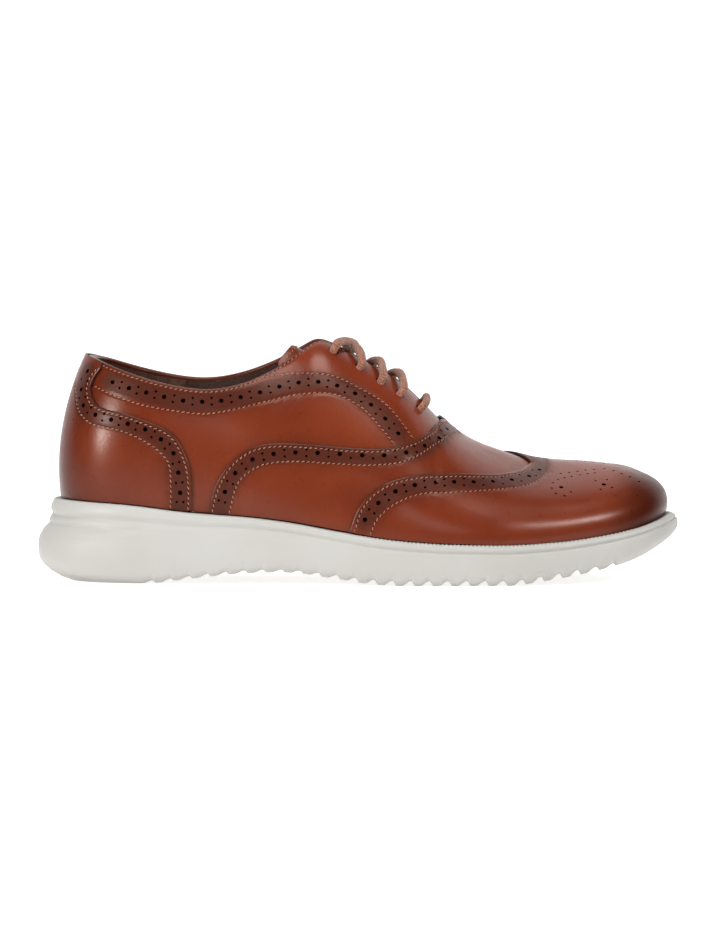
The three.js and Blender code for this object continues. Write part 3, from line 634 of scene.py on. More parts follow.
def pairedHoles(bigs, apart):
    # two small holes side by side across the row between each two big ones
    holes = [(p, 1) for p in bigs]
    for a, b in zip(bigs[:-1], bigs[1:]):
        a, b = np.array(a, float), np.array(b, float)
        gap = np.linalg.norm(b - a)
        if gap > 13:
            continue
        across = np.array([-(b - a)[1], (b - a)[0]]) / gap * apart
        holes += [(tuple((a + b) / 2 + across), 0), (tuple((a + b) / 2 - across), 0)]
    return holes


punch = {"big": 1.12, "small": 0.62, "apart": 1.55, "depth": 1.0}
# dark and darkTo: painted shade that darkens the leather along the rounded free edges and along the stitched
# seams
freeEdge = {"round": 0.8, "drop": 0.32, "darkTo": 1.1, "dark": 0.75}
seam = {"half": 0.75, "reach": 0.8, "depth": 0.22, "darkTo": 0.9, "dark": 0.35}
halo = {"reach": 8.0, "dark": 0.2}


def linesBeside(side, line, distance, offsets):
    # lines of u and v that run beside a line, at offsets in millimetres towards its left
    u, v = line[:, 0], line[:, 1]
    path = np.gradient(meshPoints(side, line, distance), axis=0)
    across = np.cross(sideNormal(side, u, v), path)
    across /= np.maximum(np.linalg.norm(across, axis=1), 1e-9)[:, None]
    beside = []
    for offset in offsets:
        a, b = stepUV(side, u, v, across * offset)
        beside.append(np.stack([u + a, v + b], -1))
    return beside


def panelSink(base, side, edges, rows):
    # how far the leather falls at its rounded free edges and along its seams
    sink = np.zeros(len(base))
    for line in edges:
        t = nearLine(base, meshPoints(side, line, 0.0))
        sink = np.maximum(sink, freeEdge["drop"] * (1 - np.clip(t / freeEdge["round"], 0, 1)) ** 2)
    for row in rows:
        t = nearLine(base, meshPoints(side, row, 0.0))
        sink = np.maximum(sink, seam["depth"] * (1 - np.clip(t / seam["reach"], 0, 1)) ** 1.5)
    return sink


def panelTone(base, side, edges, rows, bands, toneOf):
    # burnish, band, and painted shade along the free edges and the seams, for each point
    tone = np.zeros((len(base), 3))
    if toneOf is not None:
        tone[:, 0] = toneOf(base)
    for line, width in bands:
        t = nearLine(base, meshPoints(side, line, 0.0))
        tone[:, 1] = np.maximum(tone[:, 1], 1 - smoothstep(width - 1.2, width + 1.6, t))
        tone[:, 0] += halo["dark"] * (1 - smoothstep(width, width + halo["reach"], t)) * (1 - tone[:, 0])
    # painted shade along the free edges and in the seam grooves
    for facts, lines in ((freeEdge, edges), (seam, rows)):
        for line in lines:
            t = nearLine(base, meshPoints(side, line, 0.0))
            tone[:, 2] = np.maximum(tone[:, 2], facts["dark"] * (1 - smoothstep(0.0, facts["darkTo"], t)))
    return tone


def leatherPanel(name, outline, edges, layer, standsFor, holes=(), rows=(), bands=(), sides=(lateral, medial),
                 eyelets=(), toneOf=None):
    # a closed leather panel: outline is in u and v; edges are its free edges; holes are (u, v, radius)
    under, over = layer
    points, faces, slotOf, tones = [], [], [], []
    total = 0
    gridU, gridV = np.meshgrid(np.linspace(0, 1, lastStation * 8 + 1), np.linspace(0, 1, 37), indexing="ij")
    grid = np.stack([gridU.ravel(), gridV.ravel()], -1)
    for side in sides:
        loops = [circleLoop(side, h[:2], h[2], 10 if h[2] > 0.8 else 7) for h in holes]
        loops += [circleLoop(side, e, eyeletHole, 18) for e in eyelets]
        inner = grid[insideOutline(grid * domainScale, outline * domainScale)]
        border = np.vstack([outline, outline[:1]]) * domainScale
        inner = inner[nearLine(inner * domainScale, border) > 0.9]
        insets = []
        for line in edges:
            for moved in linesBeside(side, line, over, (0.28, -0.28, freeEdge["round"], -freeEdge["round"])):
                inside = insideOutline(moved * domainScale, outline * domainScale) & (moved[:, 1] < 0.9999)
                insets.append(moved[inside])
        for row in rows:
            for moved in linesBeside(side, row, over, (-seam["half"], 0, seam["half"])):
                inside = insideOutline(moved * domainScale, outline * domainScale)
                inside &= nearLine(moved * domainScale, border) > 0.5
                insets.append(moved[inside])
        extra = np.vstack([inner] + insets)
        for loop in loops:
            centre = loop.mean(0)
            wide = np.abs((loop - centre) * domainScale).max() + 0.35
            extra = extra[np.linalg.norm((extra - centre) * domainScale, axis=1) > wide]
        uv, triangles = triangulate(outline, loops, extra)
        uv = np.clip(uv, 0, 1)
        base = meshPoints(side, uv, 0.0)
        sink = panelSink(base, side, edges, rows)
        tone = panelTone(base, side, edges, rows, bands, toneOf)
        top = meshPoints(side, uv, over - sink)
        flip = side == medial
        points.append(top)
        tones.append(tone)
        faces += [tuple(t[::-1] if flip else t) for t in (triangles + total)]
        slotOf += [0] * len(triangles)
        # pits, and open eyelet holes: the pit floors and the deep part of every hole wall are near-black
        # painted shade, and the tone darkens the walls as painted shade
        loopStart = len(outline)
        floor = total + len(top)
        for k, loop in enumerate(loops):
            n = len(loop)
            ids = total + loopStart + np.arange(n)
            loopStart += n
            opened = k >= len(holes)
            depth = (over - under) if opened else punch["depth"]
            lip = meshPoints(side, loop, over - 0.16)
            deep = meshPoints(side, loop, over - depth)
            points += [lip, deep]
            # painted shade on the hole walls: darker burnish, band colour and edge darkening
            tones += [np.tile([0.2, 0.6, 0.8], (2 * n, 1))]
            for ring, (a, b) in enumerate(((ids, floor + np.arange(n)),
                                           (floor + np.arange(n), floor + n + np.arange(n)))):
                for i in range(n):
                    j = (i + 1) % n
                    quad = (a[i], b[i], b[j], a[j])
                    faces.append(quad[::-1] if flip else quad)
                    slotOf.append(0 if ring == 0 else 2)
            if not opened:
                ringFace = tuple(floor + n + np.arange(n))
                faces.append(ringFace[::-1] if flip else ringFace)
                slotOf.append(2)
            floor += 2 * n
        # underside from a coarser net, with the same outline
        coarse = grid[::5][insideOutline(grid[::5] * domainScale, outline * domainScale)]
        coarse = coarse[nearLine(coarse * domainScale, border) > 1.5]
        openLoops = loops[len(holes):]
        uvUnder, trianglesUnder = triangulate(outline, openLoops, coarse)
        bottom = meshPoints(side, np.clip(uvUnder, 0, 1), under)
        points.append(bottom)
        tones.append(np.zeros((len(bottom), 3)))
        faces += [tuple(t if flip else t[::-1]) for t in (trianglesUnder + floor)]
        slotOf += [1] * len(trianglesUnder)
        n = len(outline)
        for i in range(n):
            j = (i + 1) % n
            pair = outline[[i, j]]
            ridge = (pair[:, 1] > 1 - 1e-6).all() and (pair[:, 0] >= throatU - 1e-4).all()
            ends = ((pair[:, 0] < 1e-6).all() or (pair[:, 0] > 1 - 1e-6).all())
            if len(sides) == 2 and (ridge or ends):
                continue
            quad = (total + i, floor + i, floor + j, total + j)
            faces.append(quad[::-1] if flip else quad)
            slotOf.append(1)
        total = floor + len(bottom)
    piece = makePiece(name, np.vstack(points), faces, ("leather", "edge", "holeShade"), slotOf, np.vstack(tones))
    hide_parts(*standsFor)


stitch = {"pitch": 2.4, "length": 1.95, "radius": 0.25, "slant": 20.0, "hole": 0.5}


def stitchRows(name, rows, surface, sides, body="shoe"):
    # thread laid in slanting stitches along rows of u and v, with needle holes between them as dark discs of
    # painted shade
    rings, around = 5, 6
    points, faces, slotOf = [], [], []
    total = 0
    for row in rows:
        for side in sides:
            line = surface(side, row, 0.0)
            high = surface(side, row, 1.0)
            normals = high - line
            length = np.concatenate([[0], np.cumsum(np.linalg.norm(np.diff(line, axis=0), axis=1))])
            count = max(1, int(length[-1] / stitch["pitch"]))
            pitch = length[-1] / count
            for k in range(count):
                mid = (k + 0.5) * pitch
                at = np.array([np.interp(mid, length, line[:, c]) for c in range(3)])
                ahead = np.array([np.interp(mid + 0.4, length, line[:, c]) for c in range(3)])
                back = np.array([np.interp(mid - 0.4, length, line[:, c]) for c in range(3)])
                up = np.array([np.interp(mid, length, normals[:, c]) for c in range(3)])
                up /= np.linalg.norm(up)
                tangent = ahead - back
                tangent /= max(np.linalg.norm(tangent), 1e-9)
                across = np.cross(up, tangent)
                lean = math.radians(stitch["slant"] + random.uniform(-3, 3))
                tangent = tangent * math.cos(lean) + across * math.sin(lean)
                across = np.cross(up, tangent)
                half = stitch["length"] / 2
                for r in range(rings):
                    t = -1 + 2 * r / (rings - 1)
                    wide = stitch["radius"] * (1 - 0.55 * t ** 4)
                    lift = 0.20 * (1 - t * t) - 0.14 * t * t
                    for a in range(around):
                        turn = 2 * math.pi * a / around
                        points.append(at + tangent * half * t + across * math.cos(turn) * wide
                                      + up * (lift + math.sin(turn) * wide * 0.8))
                for r in range(rings - 1):
                    for a in range(around):
                        b = (a + 1) % around
                        p = total + r * around
                        faces.append((p + a, p + around + a, p + around + b, p + b))
                        slotOf.append(0)
                faces.append(tuple(total + a for a in range(around)))
                faces.append(tuple(total + (rings - 1) * around + a for a in reversed(range(around))))
                slotOf += [0, 0]
                total += rings * around
                # needle hole at the stitch's end: a flat dark disc of painted shade
                hole = at + tangent * (pitch / 2) + up * 0.045
                for a in range(6):
                    turn = 2 * math.pi * a / 6
                    points.append(hole + tangent * math.cos(turn) * stitch["hole"]
                                  + across * math.sin(turn) * stitch["hole"])
                faces.append(tuple(total + a for a in range(6)))
                slotOf.append(1)
                total += 6
    piece = makePiece(name, np.array(points), faces, ("thread", "holeShade"), slotOf, smooth=80, body=body)
    return piece


def onLayer(distance):
    return lambda side, row, lift: onLast(side, row[:, 0], row[:, 1], distance - 0.2 + lift)


overAll, overLayer, baseLayer = (2.2, 3.3), (0.55, 1.65), (-1.3, -0.2)
eyeletHole = 2.35
bandHalf, collarBandHalf = 4.6, 4.9

wing = {
    "edge": [(148.6, 27), (152, 35.4), (156.9, 42), (165.1, 47.7), (177.4, 51.4), (196, 52.6),
             (219.3, 52.6), (229.1, 54.2)],
    "tip": 234.4,
    "edgeRow": [(151.2, 27), (153.8, 34.6), (158.3, 40.8), (165.9, 46.2), (177.6, 49.8), (196, 51),
                (219.5, 51), (230, 52.6)],
    "edgeRowTip": 236.2,
    "innerRow": [(158.5, 24.7), (161, 30.5), (169.2, 37.9), (181.5, 42.8), (196, 43.6), (219.3, 45.2),
                 (231.6, 46.9),
                 (238.9, 50.1), (242.6, 53.4)],
    "innerRowTip": 242,
    "holes": [(155.5, 30.7), (161.8, 38.6), (169.8, 44), (178.9, 47), (188.2, 48), (197.4, 48.5),
              (206.6, 48.5),
              (215.8, 48.7), (224.9, 49.5), (233.2, 51.2), (238.4, 54.2)],
}
medallion = {
    "big": [(248.2, 45.9), (268.5, 47.2)],
    "small": [(243.7, 45.5), (244.4, 48), (246.9, 49.5), (245.4, 43), (249.5, 41.9), (252.7, 43.7),
              (250, 50.4),
              (264.7, 48.9), (270.1, 49.4), (266.8, 45), (272.2, 45.8),
              (253.5, 51), (257.6, 51.7), (261.2, 52.3), (264.6, 52.7),
              (248.3, 52.4), (252.4, 52.8), (256.5, 53.4), (260.4, 54), (264.4, 54.3), (269.3, 54.7),
              (273.6, 53.7),
              (277.3, 52.3), (281.2, 50.8), (285.4, 48.5)],
}
vampFacts = {
    "edge": [(82, 35), (83.8, 42.5), (90.1, 55.1), (100.7, 63.8), (111.8, 66.5), (128.2, 66.1),
             (148.7, 64.5),
             (165.1, 64.5), (178.2, 67.6), (187, 72.6)],
    "tip": 192.4,
    "edgeRow": [(83.8, 34.6), (85.6, 42), (91.6, 54.2), (101.4, 62.3), (112, 64.9), (128.2, 64.5),
                (148.7, 62.9),
                (165.3, 62.9), (178.9, 66.2), (188.2, 71.6)],
    "edgeRowTip": 194.1,
    "innerRow": [(91.7, 33.8), (96.3, 48.5), (106.1, 55.9), (120, 58), (140.5, 57.1), (156.9, 56.3),
                 (173.3, 58),
                 (181.5, 61.6), (190, 67.4)],
    "innerRowTip": 199.3,
    "holes": [(86.9, 34.8), (89.7, 43.7), (94.6, 52.6), (102.7, 59), (112.6, 61.6), (122.9, 62.3),
              (133.3, 62),
              (143.7, 61.6), (154.2, 61), (164.5, 61), (174.9, 62.3), (183.7, 65.5), (190.1, 69.8),
              (194.6, 73.5)],
}
counterFacts = {
    "edge": [(31.3, 103.6), (27.2, 98), (25.4, 92.2), (27.7, 85.9), (33, 82.9), (40.4, 81.1), (56.1, 75.6),
             (64.9, 70.9),
             (70.4, 62.2), (73.5, 52.7), (74.1, 42), (73.9, 34)],
    "edgeRow": [(28.9, 102), (25.4, 97.4), (23.9, 92), (26, 85.2), (32.4, 81.5), (40, 79.6), (55.5, 74.1),
                (63.8, 69.7),
                (69, 61.6), (71.9, 52.5), (72.5, 42), (72.3, 34)],
    "innerRow": [(18.2, 103.4), (17.8, 97), (18.7, 89.8), (19.9, 82.7), (25.4, 76.4), (32, 74.3),
                 (40.4, 72.5), (51.4, 67.7),
                 (59.3, 62.2), (63.3, 56.7), (64.2, 46), (64, 35)],
    "holes": [(24.2, 100.9), (21.3, 92.2), (22.5, 84.6), (28.4, 80.1), (36, 77.8), (43.9, 75.8),
              (52.2, 73.2),
              (59.6, 68.5), (65.5, 61.9), (67.8, 52.8), (68.6, 43.3), (68.6, 34.6)],
}
collar = {
    "holes": [(36.4, 95.5), (44.3, 92.7), (52.5, 90.6), (61, 88.5), (69.9, 86.7), (78.9, 86.2),
              (87.9, 86.7), (97, 88.4),
              (106.1, 90.7), (115.2, 93.4), (124.3, 95.3), (133.5, 95.7), (142.4, 93.9), (150.9, 90.2),
              (158.4, 84.9),
              (165.1, 78.3), (171.2, 71.3)],
    "lowRow": [(27.3, 93.8), (36, 89.6), (46.7, 85.8), (56, 83.5), (66.7, 81.8), (80.1, 80.5), (93.4, 82.5),
               (106.8, 85.8),
               (124.7, 89.8), (140.5, 89.9), (152.8, 84.5), (161, 76.4), (169.2, 66.5)],
    "highRow": [(103.6, 96.9), (114, 98.9), (128.2, 99.7), (140.5, 98.5), (152.8, 92.8), (165.1, 85.4),
                (172, 77.6),
                (178.2, 69)],
}
quarterUnder = [(91, 34), (93.5, 44), (99, 52), (108, 56.5), (128, 57.2), (149, 55.5), (165, 55.5),
                (180, 58.5), (191, 64)]
vampUnder = [(158.5, 26), (161, 31.5), (168, 38), (178, 42), (196, 43.2), (208, 42.8), (219, 42.6),
             (229, 43.6), (237, 46)]
eyeletPlaces = [(140.8, 109), (153.2, 101.6), (163, 94.9), (172.3, 88.7), (181.6, 81.4)]


def straight(a, b, pitch=0.006):
    count = max(2, int(math.hypot(*(np.array(b) - np.array(a)) * (1, 0.27)) / pitch) + 1)
    return np.linspace(a, b, count)


def closedOutline(*runs):
    line = np.vstack(runs)
    keep = [0]
    for k in range(1, len(line)):
        if np.linalg.norm((line[k] - line[keep[-1]]) * domainScale) > 0.02:
            keep.append(k)
    line = line[keep]
    if np.linalg.norm((line[0] - line[-1]) * domainScale) < 0.02:
        line = line[:-1]
    return line


def holeList(facts, distance):
    found = pairedHoles(facts["holes"], punch["apart"])
    uv = uvAt([p for p, _ in found], distance)
    landed = onLast(lateral, uv[:, 0], uv[:, 1], distance)[:, 0]
    made = []
    for (spot, big), (u, v), x in zip(found, uv, landed):
        radius = punch["big"] if big else punch["small"]
        if abs(x - spot[0]) < 0.6 and 0.03 < v < 1 - (radius + 0.5) / 60:
            made.append((u, v, radius))
    return made


def toeTone(p):
    x, z = p[:, 0], p[:, 2]
    tip = smoothstep(262, 291, x + 0.35 * (40 - z))
    crown = smoothstep(45, 52, z) * smoothstep(275, 262, x)
    return np.maximum(0.82 * tip, 0.13 * (1 - crown)) + 0.12 * smoothstep(34, 22, z) * smoothstep(200, 260,
                                                                                                  x)


def heelTone(p):
    x, z = p[:, 0], p[:, 2]
    return 0.24 + 0.42 * smoothstep(30, 8, x) + 0.16 * smoothstep(62, 42, z) * smoothstep(60, 30, x)


def quarterTone(p):
    x, z = p[:, 0], p[:, 2]
    base = 0.2 * (1 - smoothstep(120, 150, x + 0.5 * (z - 80)))
    return base + 0.24 * smoothstep(60, 24, x) + 0.16 * smoothstep(76, 64, z) * smoothstep(90, 110, x)


def vampTone(p):
    x, z = p[:, 0], p[:, 2]
    base = 0.16 * (1 - smoothstep(56, 68, z) * smoothstep(165, 195, x))
    return base + 0.14 * smoothstep(58, 44, z) * smoothstep(100, 150, x) * smoothstep(30, 40, z)


wingEdge = surfaceLine(wing["edge"], overAll[1], wing["tip"], down=True)
wingOutline = closedOutline(wingEdge, straight(wingEdge[-1], (1, 1)), straight((1, 1), (1, 0)),
                            straight((1, 0), wingEdge[0]))
wingRows = [surfaceLine(wing["edgeRow"], overAll[1], wing["edgeRowTip"], down=True),
            surfaceLine(wing["innerRow"], overAll[1], wing["innerRowTip"], down=True)]
wingHoles = holeList(wing, overAll[1])
for spot in medallion["big"]:
    wingHoles.append((*uvAt([spot], overAll[1])[0], punch["big"]))
for u, v in uvAt(medallion["small"], overAll[1]):
    if v < 0.985:
        wingHoles.append((u, v, punch["small"]))
wingBand = surfaceLine(wing["holes"], overAll[1], 239)
leatherPanel("wingCap", wingOutline, [wingEdge], overAll, ["wing_cap"], wingHoles, wingRows,
                         [(wingBand, bandHalf)], toneOf=toeTone)
stitchRows("wingStitches", wingRows, onLayer(overAll[1]), (lateral, medial))
print("wing cap ready")

vampEdge = surfaceLine(vampFacts["edge"], overLayer[1], vampFacts["tip"], down=True)
vampLow = surfaceLine(vampUnder, overLayer[1], 243, down=True, seen=False)
vampOutline = closedOutline(vampEdge, straight(vampEdge[-1], vampLow[-1]), vampLow[::-1],
                            straight(vampLow[0], vampEdge[0]))
vampRows = [surfaceLine(vampFacts["edgeRow"], overLayer[1], vampFacts["edgeRowTip"], down=True),
            surfaceLine(vampFacts["innerRow"], overLayer[1], vampFacts["innerRowTip"], down=True)]
vampBand = surfaceLine(vampFacts["holes"], overLayer[1], 197, down=True)
leatherPanel("vampPanel", vampOutline, [vampEdge], overLayer, ["vamp"], holeList(vampFacts, overLayer[1]),
             vampRows,
             [(vampBand, bandHalf)], toneOf=vampTone)
stitchRows("vampStitches", vampRows, onLayer(overLayer[1]), (lateral, medial))
print("vamp ready")

counterEdge = surfaceLine(counterFacts["edge"], overLayer[1], down=False)
counterEdge[0] = (topU(31.3), 1.0)
counterEdge = np.vstack([counterEdge, [[counterEdge[-1, 0], 0.0]]])
counterOutline = closedOutline(straight((0, 0), (0, 1)), straight((0, 1), counterEdge[0]), counterEdge,
                               straight(counterEdge[-1], (0, 0)))
counterRows = [surfaceLine(counterFacts["edgeRow"], overLayer[1], down=False),
               surfaceLine(counterFacts["innerRow"], overLayer[1], down=False)]
counterBand = surfaceLine(counterFacts["holes"], overLayer[1])
leatherPanel("heelCounter", counterOutline, [counterEdge], overLayer, ["heel_counter"],
             holeList(counterFacts, overLayer[1]), counterRows, [(counterBand, bandHalf)], toneOf=heelTone)
stitchRows("counterStitches", counterRows, onLayer(overLayer[1]), (lateral, medial))
print("heel counter ready")

quarterLow = surfaceLine(quarterUnder, baseLayer[1], seen=False, down=True)
quarterLow = quarterLow[quarterLow[:, 0] < throatU - 0.004]
lowEnd = (throatU, float(np.interp(throatU, [quarterLow[-1, 0], throatU + 0.02],
                                   [quarterLow[-1, 1], quarterLow[-1, 1] + 0.06])))
facingTop = straight((0.003, 1), (throatU - 0.012, 1))
quarterOutline = closedOutline(straight((0.003, 0), (0.003, 1)), facingTop, [(throatU, 0.994)],
                               straight((throatU, 0.994), lowEnd), quarterLow[::-1],
                               straight(quarterLow[0], (0.003, 0)))
topRow = np.stack([np.linspace(0.035, 8.6 / 19, 260), np.full(260, 0.985)], -1)
quarterRows = [topRow, surfaceLine(collar["lowRow"], baseLayer[1]),
               surfaceLine(collar["highRow"], baseLayer[1])]
quarterBand = surfaceLine(collar["holes"], baseLayer[1])
eyeletSpots = uvAt(eyeletPlaces, 0.0, seen=False)
for side, word in ((lateral, "Lateral"), (medial, "Medial")):
    leatherPanel("quarter" + word, quarterOutline, [facingTop], baseLayer, ["quarter_" + word.lower()],
                 holeList(collar, baseLayer[1]), quarterRows, [(quarterBand, collarBandHalf)], (side,),
                 eyelets=eyeletSpots, toneOf=quarterTone)
stitchRows("quarterStitches", quarterRows, onLayer(baseLayer[1]), (lateral, medial))
print("quarters ready")


def sheetGrid(name, columns, rowsV, layer, sides, slot, body="shoe", replaces=(),
              openings=()):
    # a smooth closed sheet on the last between columns of u and rows of v
    points, faces = [], []
    total = 0
    for side in sides:
        gu, gv = np.meshgrid(columns, rowsV, indexing="ij")
        layers = [onLast(side, gu, gv, d) for d in layer]
        nu, nv = gu.shape
        size = nu * nv
        points += [sheet.reshape(-1, 3) for sheet in layers]
        flip = side == medial
        drop = np.zeros((nu - 1, nv - 1), bool)
        for centre, radius in openings:
            mid = onLast(side, (gu[1:, 1:] + gu[:-1, :-1]) / 2, (gv[1:, 1:] + gv[:-1, :-1]) / 2, 0.0)
            drop |= np.linalg.norm(mid - onLast(side, centre[:1], centre[1:], 0.0)[0], axis=-1) < radius
        at = lambda i, j, k: total + k * size + i * nv + j
        for i in range(nu - 1):
            for j in range(nv - 1):
                if drop[i, j]:
                    continue
                quad = (at(i, j, 1), at(i + 1, j, 1), at(i + 1, j + 1, 1), at(i, j + 1, 1))
                back = (at(i, j, 0), at(i, j + 1, 0), at(i + 1, j + 1, 0), at(i + 1, j, 0))
                faces += [quad[::-1], back[::-1]] if flip else [quad, back]
        solid = np.pad(~drop, 1)
        for i in range(nu - 1):
            for j in range(nv - 1):
                if drop[i, j]:
                    continue
                for di, dj, a, b in ((-1, 0, (i, j + 1), (i, j)), (1, 0, (i + 1, j), (i + 1, j + 1)),
                                     (0, -1, (i, j), (i + 1, j)), (0, 1, (i + 1, j + 1), (i, j + 1))):
                    if solid[i + 1 + di, j + 1 + dj]:
                        continue
                    if len(sides) == 2 and ((di == -1 and i == 0 and columns[0] < 1e-6)
                                            or (di == 1 and i == nu - 2 and columns[-1] > 1 - 1e-6)):
                        continue
                    quad = (at(*a, 1), at(*a, 0), at(*b, 0), at(*b, 1))
                    faces.append(quad[::-1] if flip else quad)
        total += 2 * size
    piece = makePiece(name, np.vstack(points), faces, (slot,), smooth=60, body=body)
    if replaces:
        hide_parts(*replaces)
    return piece


liningStart = 0.2
sheetGrid("heelGrip", np.linspace(0, liningStart, 40), np.linspace(0, 1, 34), (-3.9, -3.1),
          (lateral, medial), "suede",
          replaces=["heel_grip"])
for side, word in ((lateral, "Lateral"), (medial, "Medial")):
    sheetGrid("lining" + word, np.linspace(liningStart + 0.001, throatU - 0.004, 150),
              np.linspace(0, 0.999, 90),
              (-3.95, -3.15), (side,), "textile", replaces=["quarter_lining_" + word.lower()],
              openings=[(spot, 3.1) for spot in eyeletSpots])

collarRoll = {"from": -0.25, "to": -3.98, "height": 1.0, "steps": 9}


def addCollarRoll():
    # rounded top edge that closes the leather to the lining, from the heel to where the facings meet
    us = np.concatenate([np.linspace(0, 0.06, 26), np.linspace(0.065, throatU - 0.012, 210)])
    turn = np.linspace(0, math.pi, collarRoll["steps"])
    middle = (collarRoll["from"] + collarRoll["to"]) / 2
    reach = (collarRoll["from"] - collarRoll["to"]) / 2
    points, faces, tones = [], [], []
    total = 0
    for side in (lateral, medial):
        vs = np.ones_like(us)
        top = onLast(side, us, vs, 0.0)
        below = onLast(side, us, vs - 0.02, 0.0)
        out = onLast(side, us, vs, 1.0) - top
        up = top - below
        up -= (up * out).sum(1)[:, None] * out
        up /= np.linalg.norm(up, axis=1)[:, None]
        height = collarRoll["height"] * smoothstep(throatU - 0.004, throatU - 0.06, us)[:, None]
        height = height * (0.3 + 0.7 * smoothstep(0.0, 0.12, us))[:, None]
        rows = [top + out * (middle + reach * math.cos(t)) + up * height * math.sin(t) for t in turn]
        ring = np.stack(rows + [top + out * collarRoll["to"] - up * 0.8,
                                top + out * collarRoll["from"] - up * 0.8], 1)
        n = ring.shape[1]
        points.append(ring.reshape(-1, 3))
        tones.append(np.tile([0.25, 0.55, 0.25], (len(us) * n, 1)))
        for i in range(len(us) - 1):
            for j in range(n):
                k = (j + 1) % n
                quad = (total + i * n + j, total + (i + 1) * n + j, total + (i + 1) * n + k,
                        total + i * n + k)
                faces.append(quad[::-1] if side == medial else quad)
        endRing = tuple(total + (len(us) - 1) * n + j for j in range(n))
        faces.append(endRing[::-1] if side == medial else endRing)
        total += len(us) * n
    piece = makePiece("collarRoll", np.vstack(points), faces, ("leather",), tone=np.vstack(tones), smooth=70)


addCollarRoll()
print("linings and collar ready")


# part of the height, then how far the wall stands past the feather line at forefoot, heel and toe
soleWall = np.array([
    [1.0, 4.2, 4.2, 4.8], [.985, 4.9, 4.8, 5.6], [.97, 5.35, 5.2, 6.2], [.94, 5.7, 5.7, 6.8],
                     [.90, 5.85, 6.2, 7.4],
    [.87, 5.8, 6.3, 7.6], [.845, 5.45, 6.0, 7.5], [.825, 5.2, 5.6, 7.4], [.805, 5.15, 5.45, 7.4],
                     [.785, 5.5, 6.0, 7.9],
    [.765, 5.85, 6.6, 8.3], [.73, 6.05, 7.0, 8.5], [.705, 6.08, 6.85, 8.6], [.69, 6.1, 6.9, 8.65],
                     [.67, 6.2, 7.9, 8.68],
    [.63, 6.3, 9.4, 8.7], [.6, 6.35, 10.2, 8.7], [.585, 6.36, 10.3, 8.7], [.565, 6.38, 10.9, 8.7],
                     [.52, 6.45, 11.8, 8.7],
    [.44, 6.5, 12.4, 8.6], [.34, 6.45, 12.4, 8.0], [.25, 6.2, 11.9, 7.2], [.17, 5.7, 10, 6.2],
                     [.1, 5.0, 7, 4.8],
    [.04, 3.9, 3, 3.4], [0, 2.6, -2, 2.2]])
notches = {"start": 54.0, "end": 275.0, "pitch": 8.7, "arch": 1.2, "forefoot": 2.3}

ribs = {"pitch": 1.9, "height": 0.45, "start": 140.0}


def footOutline(side, u, overhang):
    step = 0.002
    back, front = footPoint(side, np.maximum(u - step, 0)), footPoint(side, np.minimum(u + step, 1))
    out = np.stack([front[:, 1] - back[:, 1], back[:, 0] - front[:, 0]], -1) * -side
    out /= np.linalg.norm(out, axis=1)[:, None]
    end = (u < 1e-6) | (u > 1 - 1e-6)
    out[end] = np.stack([np.where(u[end] < 0.5, -1, 1), np.zeros(end.sum())], -1)
    point = footPoint(side, u)
    point[end, 1] = footPoint(medial, u[end])[:, 1]
    point[:, :2] += out * overhang[:, None]
    return point


def notchDepth(x):
    # rounded saw-tooth cut across the tread
    depth = notches["arch"] + (notches["forefoot"] - notches["arch"]) * smoothstep(120, 170, x)
    depth = depth * (1 - 0.5 * smoothstep(250, 280, x))
    phase = ((x - notches["start"]) / notches["pitch"] + 0.5) % 1.0 - 0.5
    rise = smoothstep(-0.36, 0.13, phase) * smoothstep(0.36, 0.17, phase)
    live = (x > notches["start"] - 0.5 * notches["pitch"]) & (x < notches["end"] - 0.2 * notches["pitch"])
    return depth * rise * live


def ribHeight(x):
    # small ribs along the rim of the forefoot
    share = np.abs((x / ribs["pitch"]) % 1.0 - 0.5) * 2
    return ribs["height"] * share * smoothstep(ribs["start"], ribs["start"] + 30, x) * smoothstep(290, 278,
                                                                                                  x)


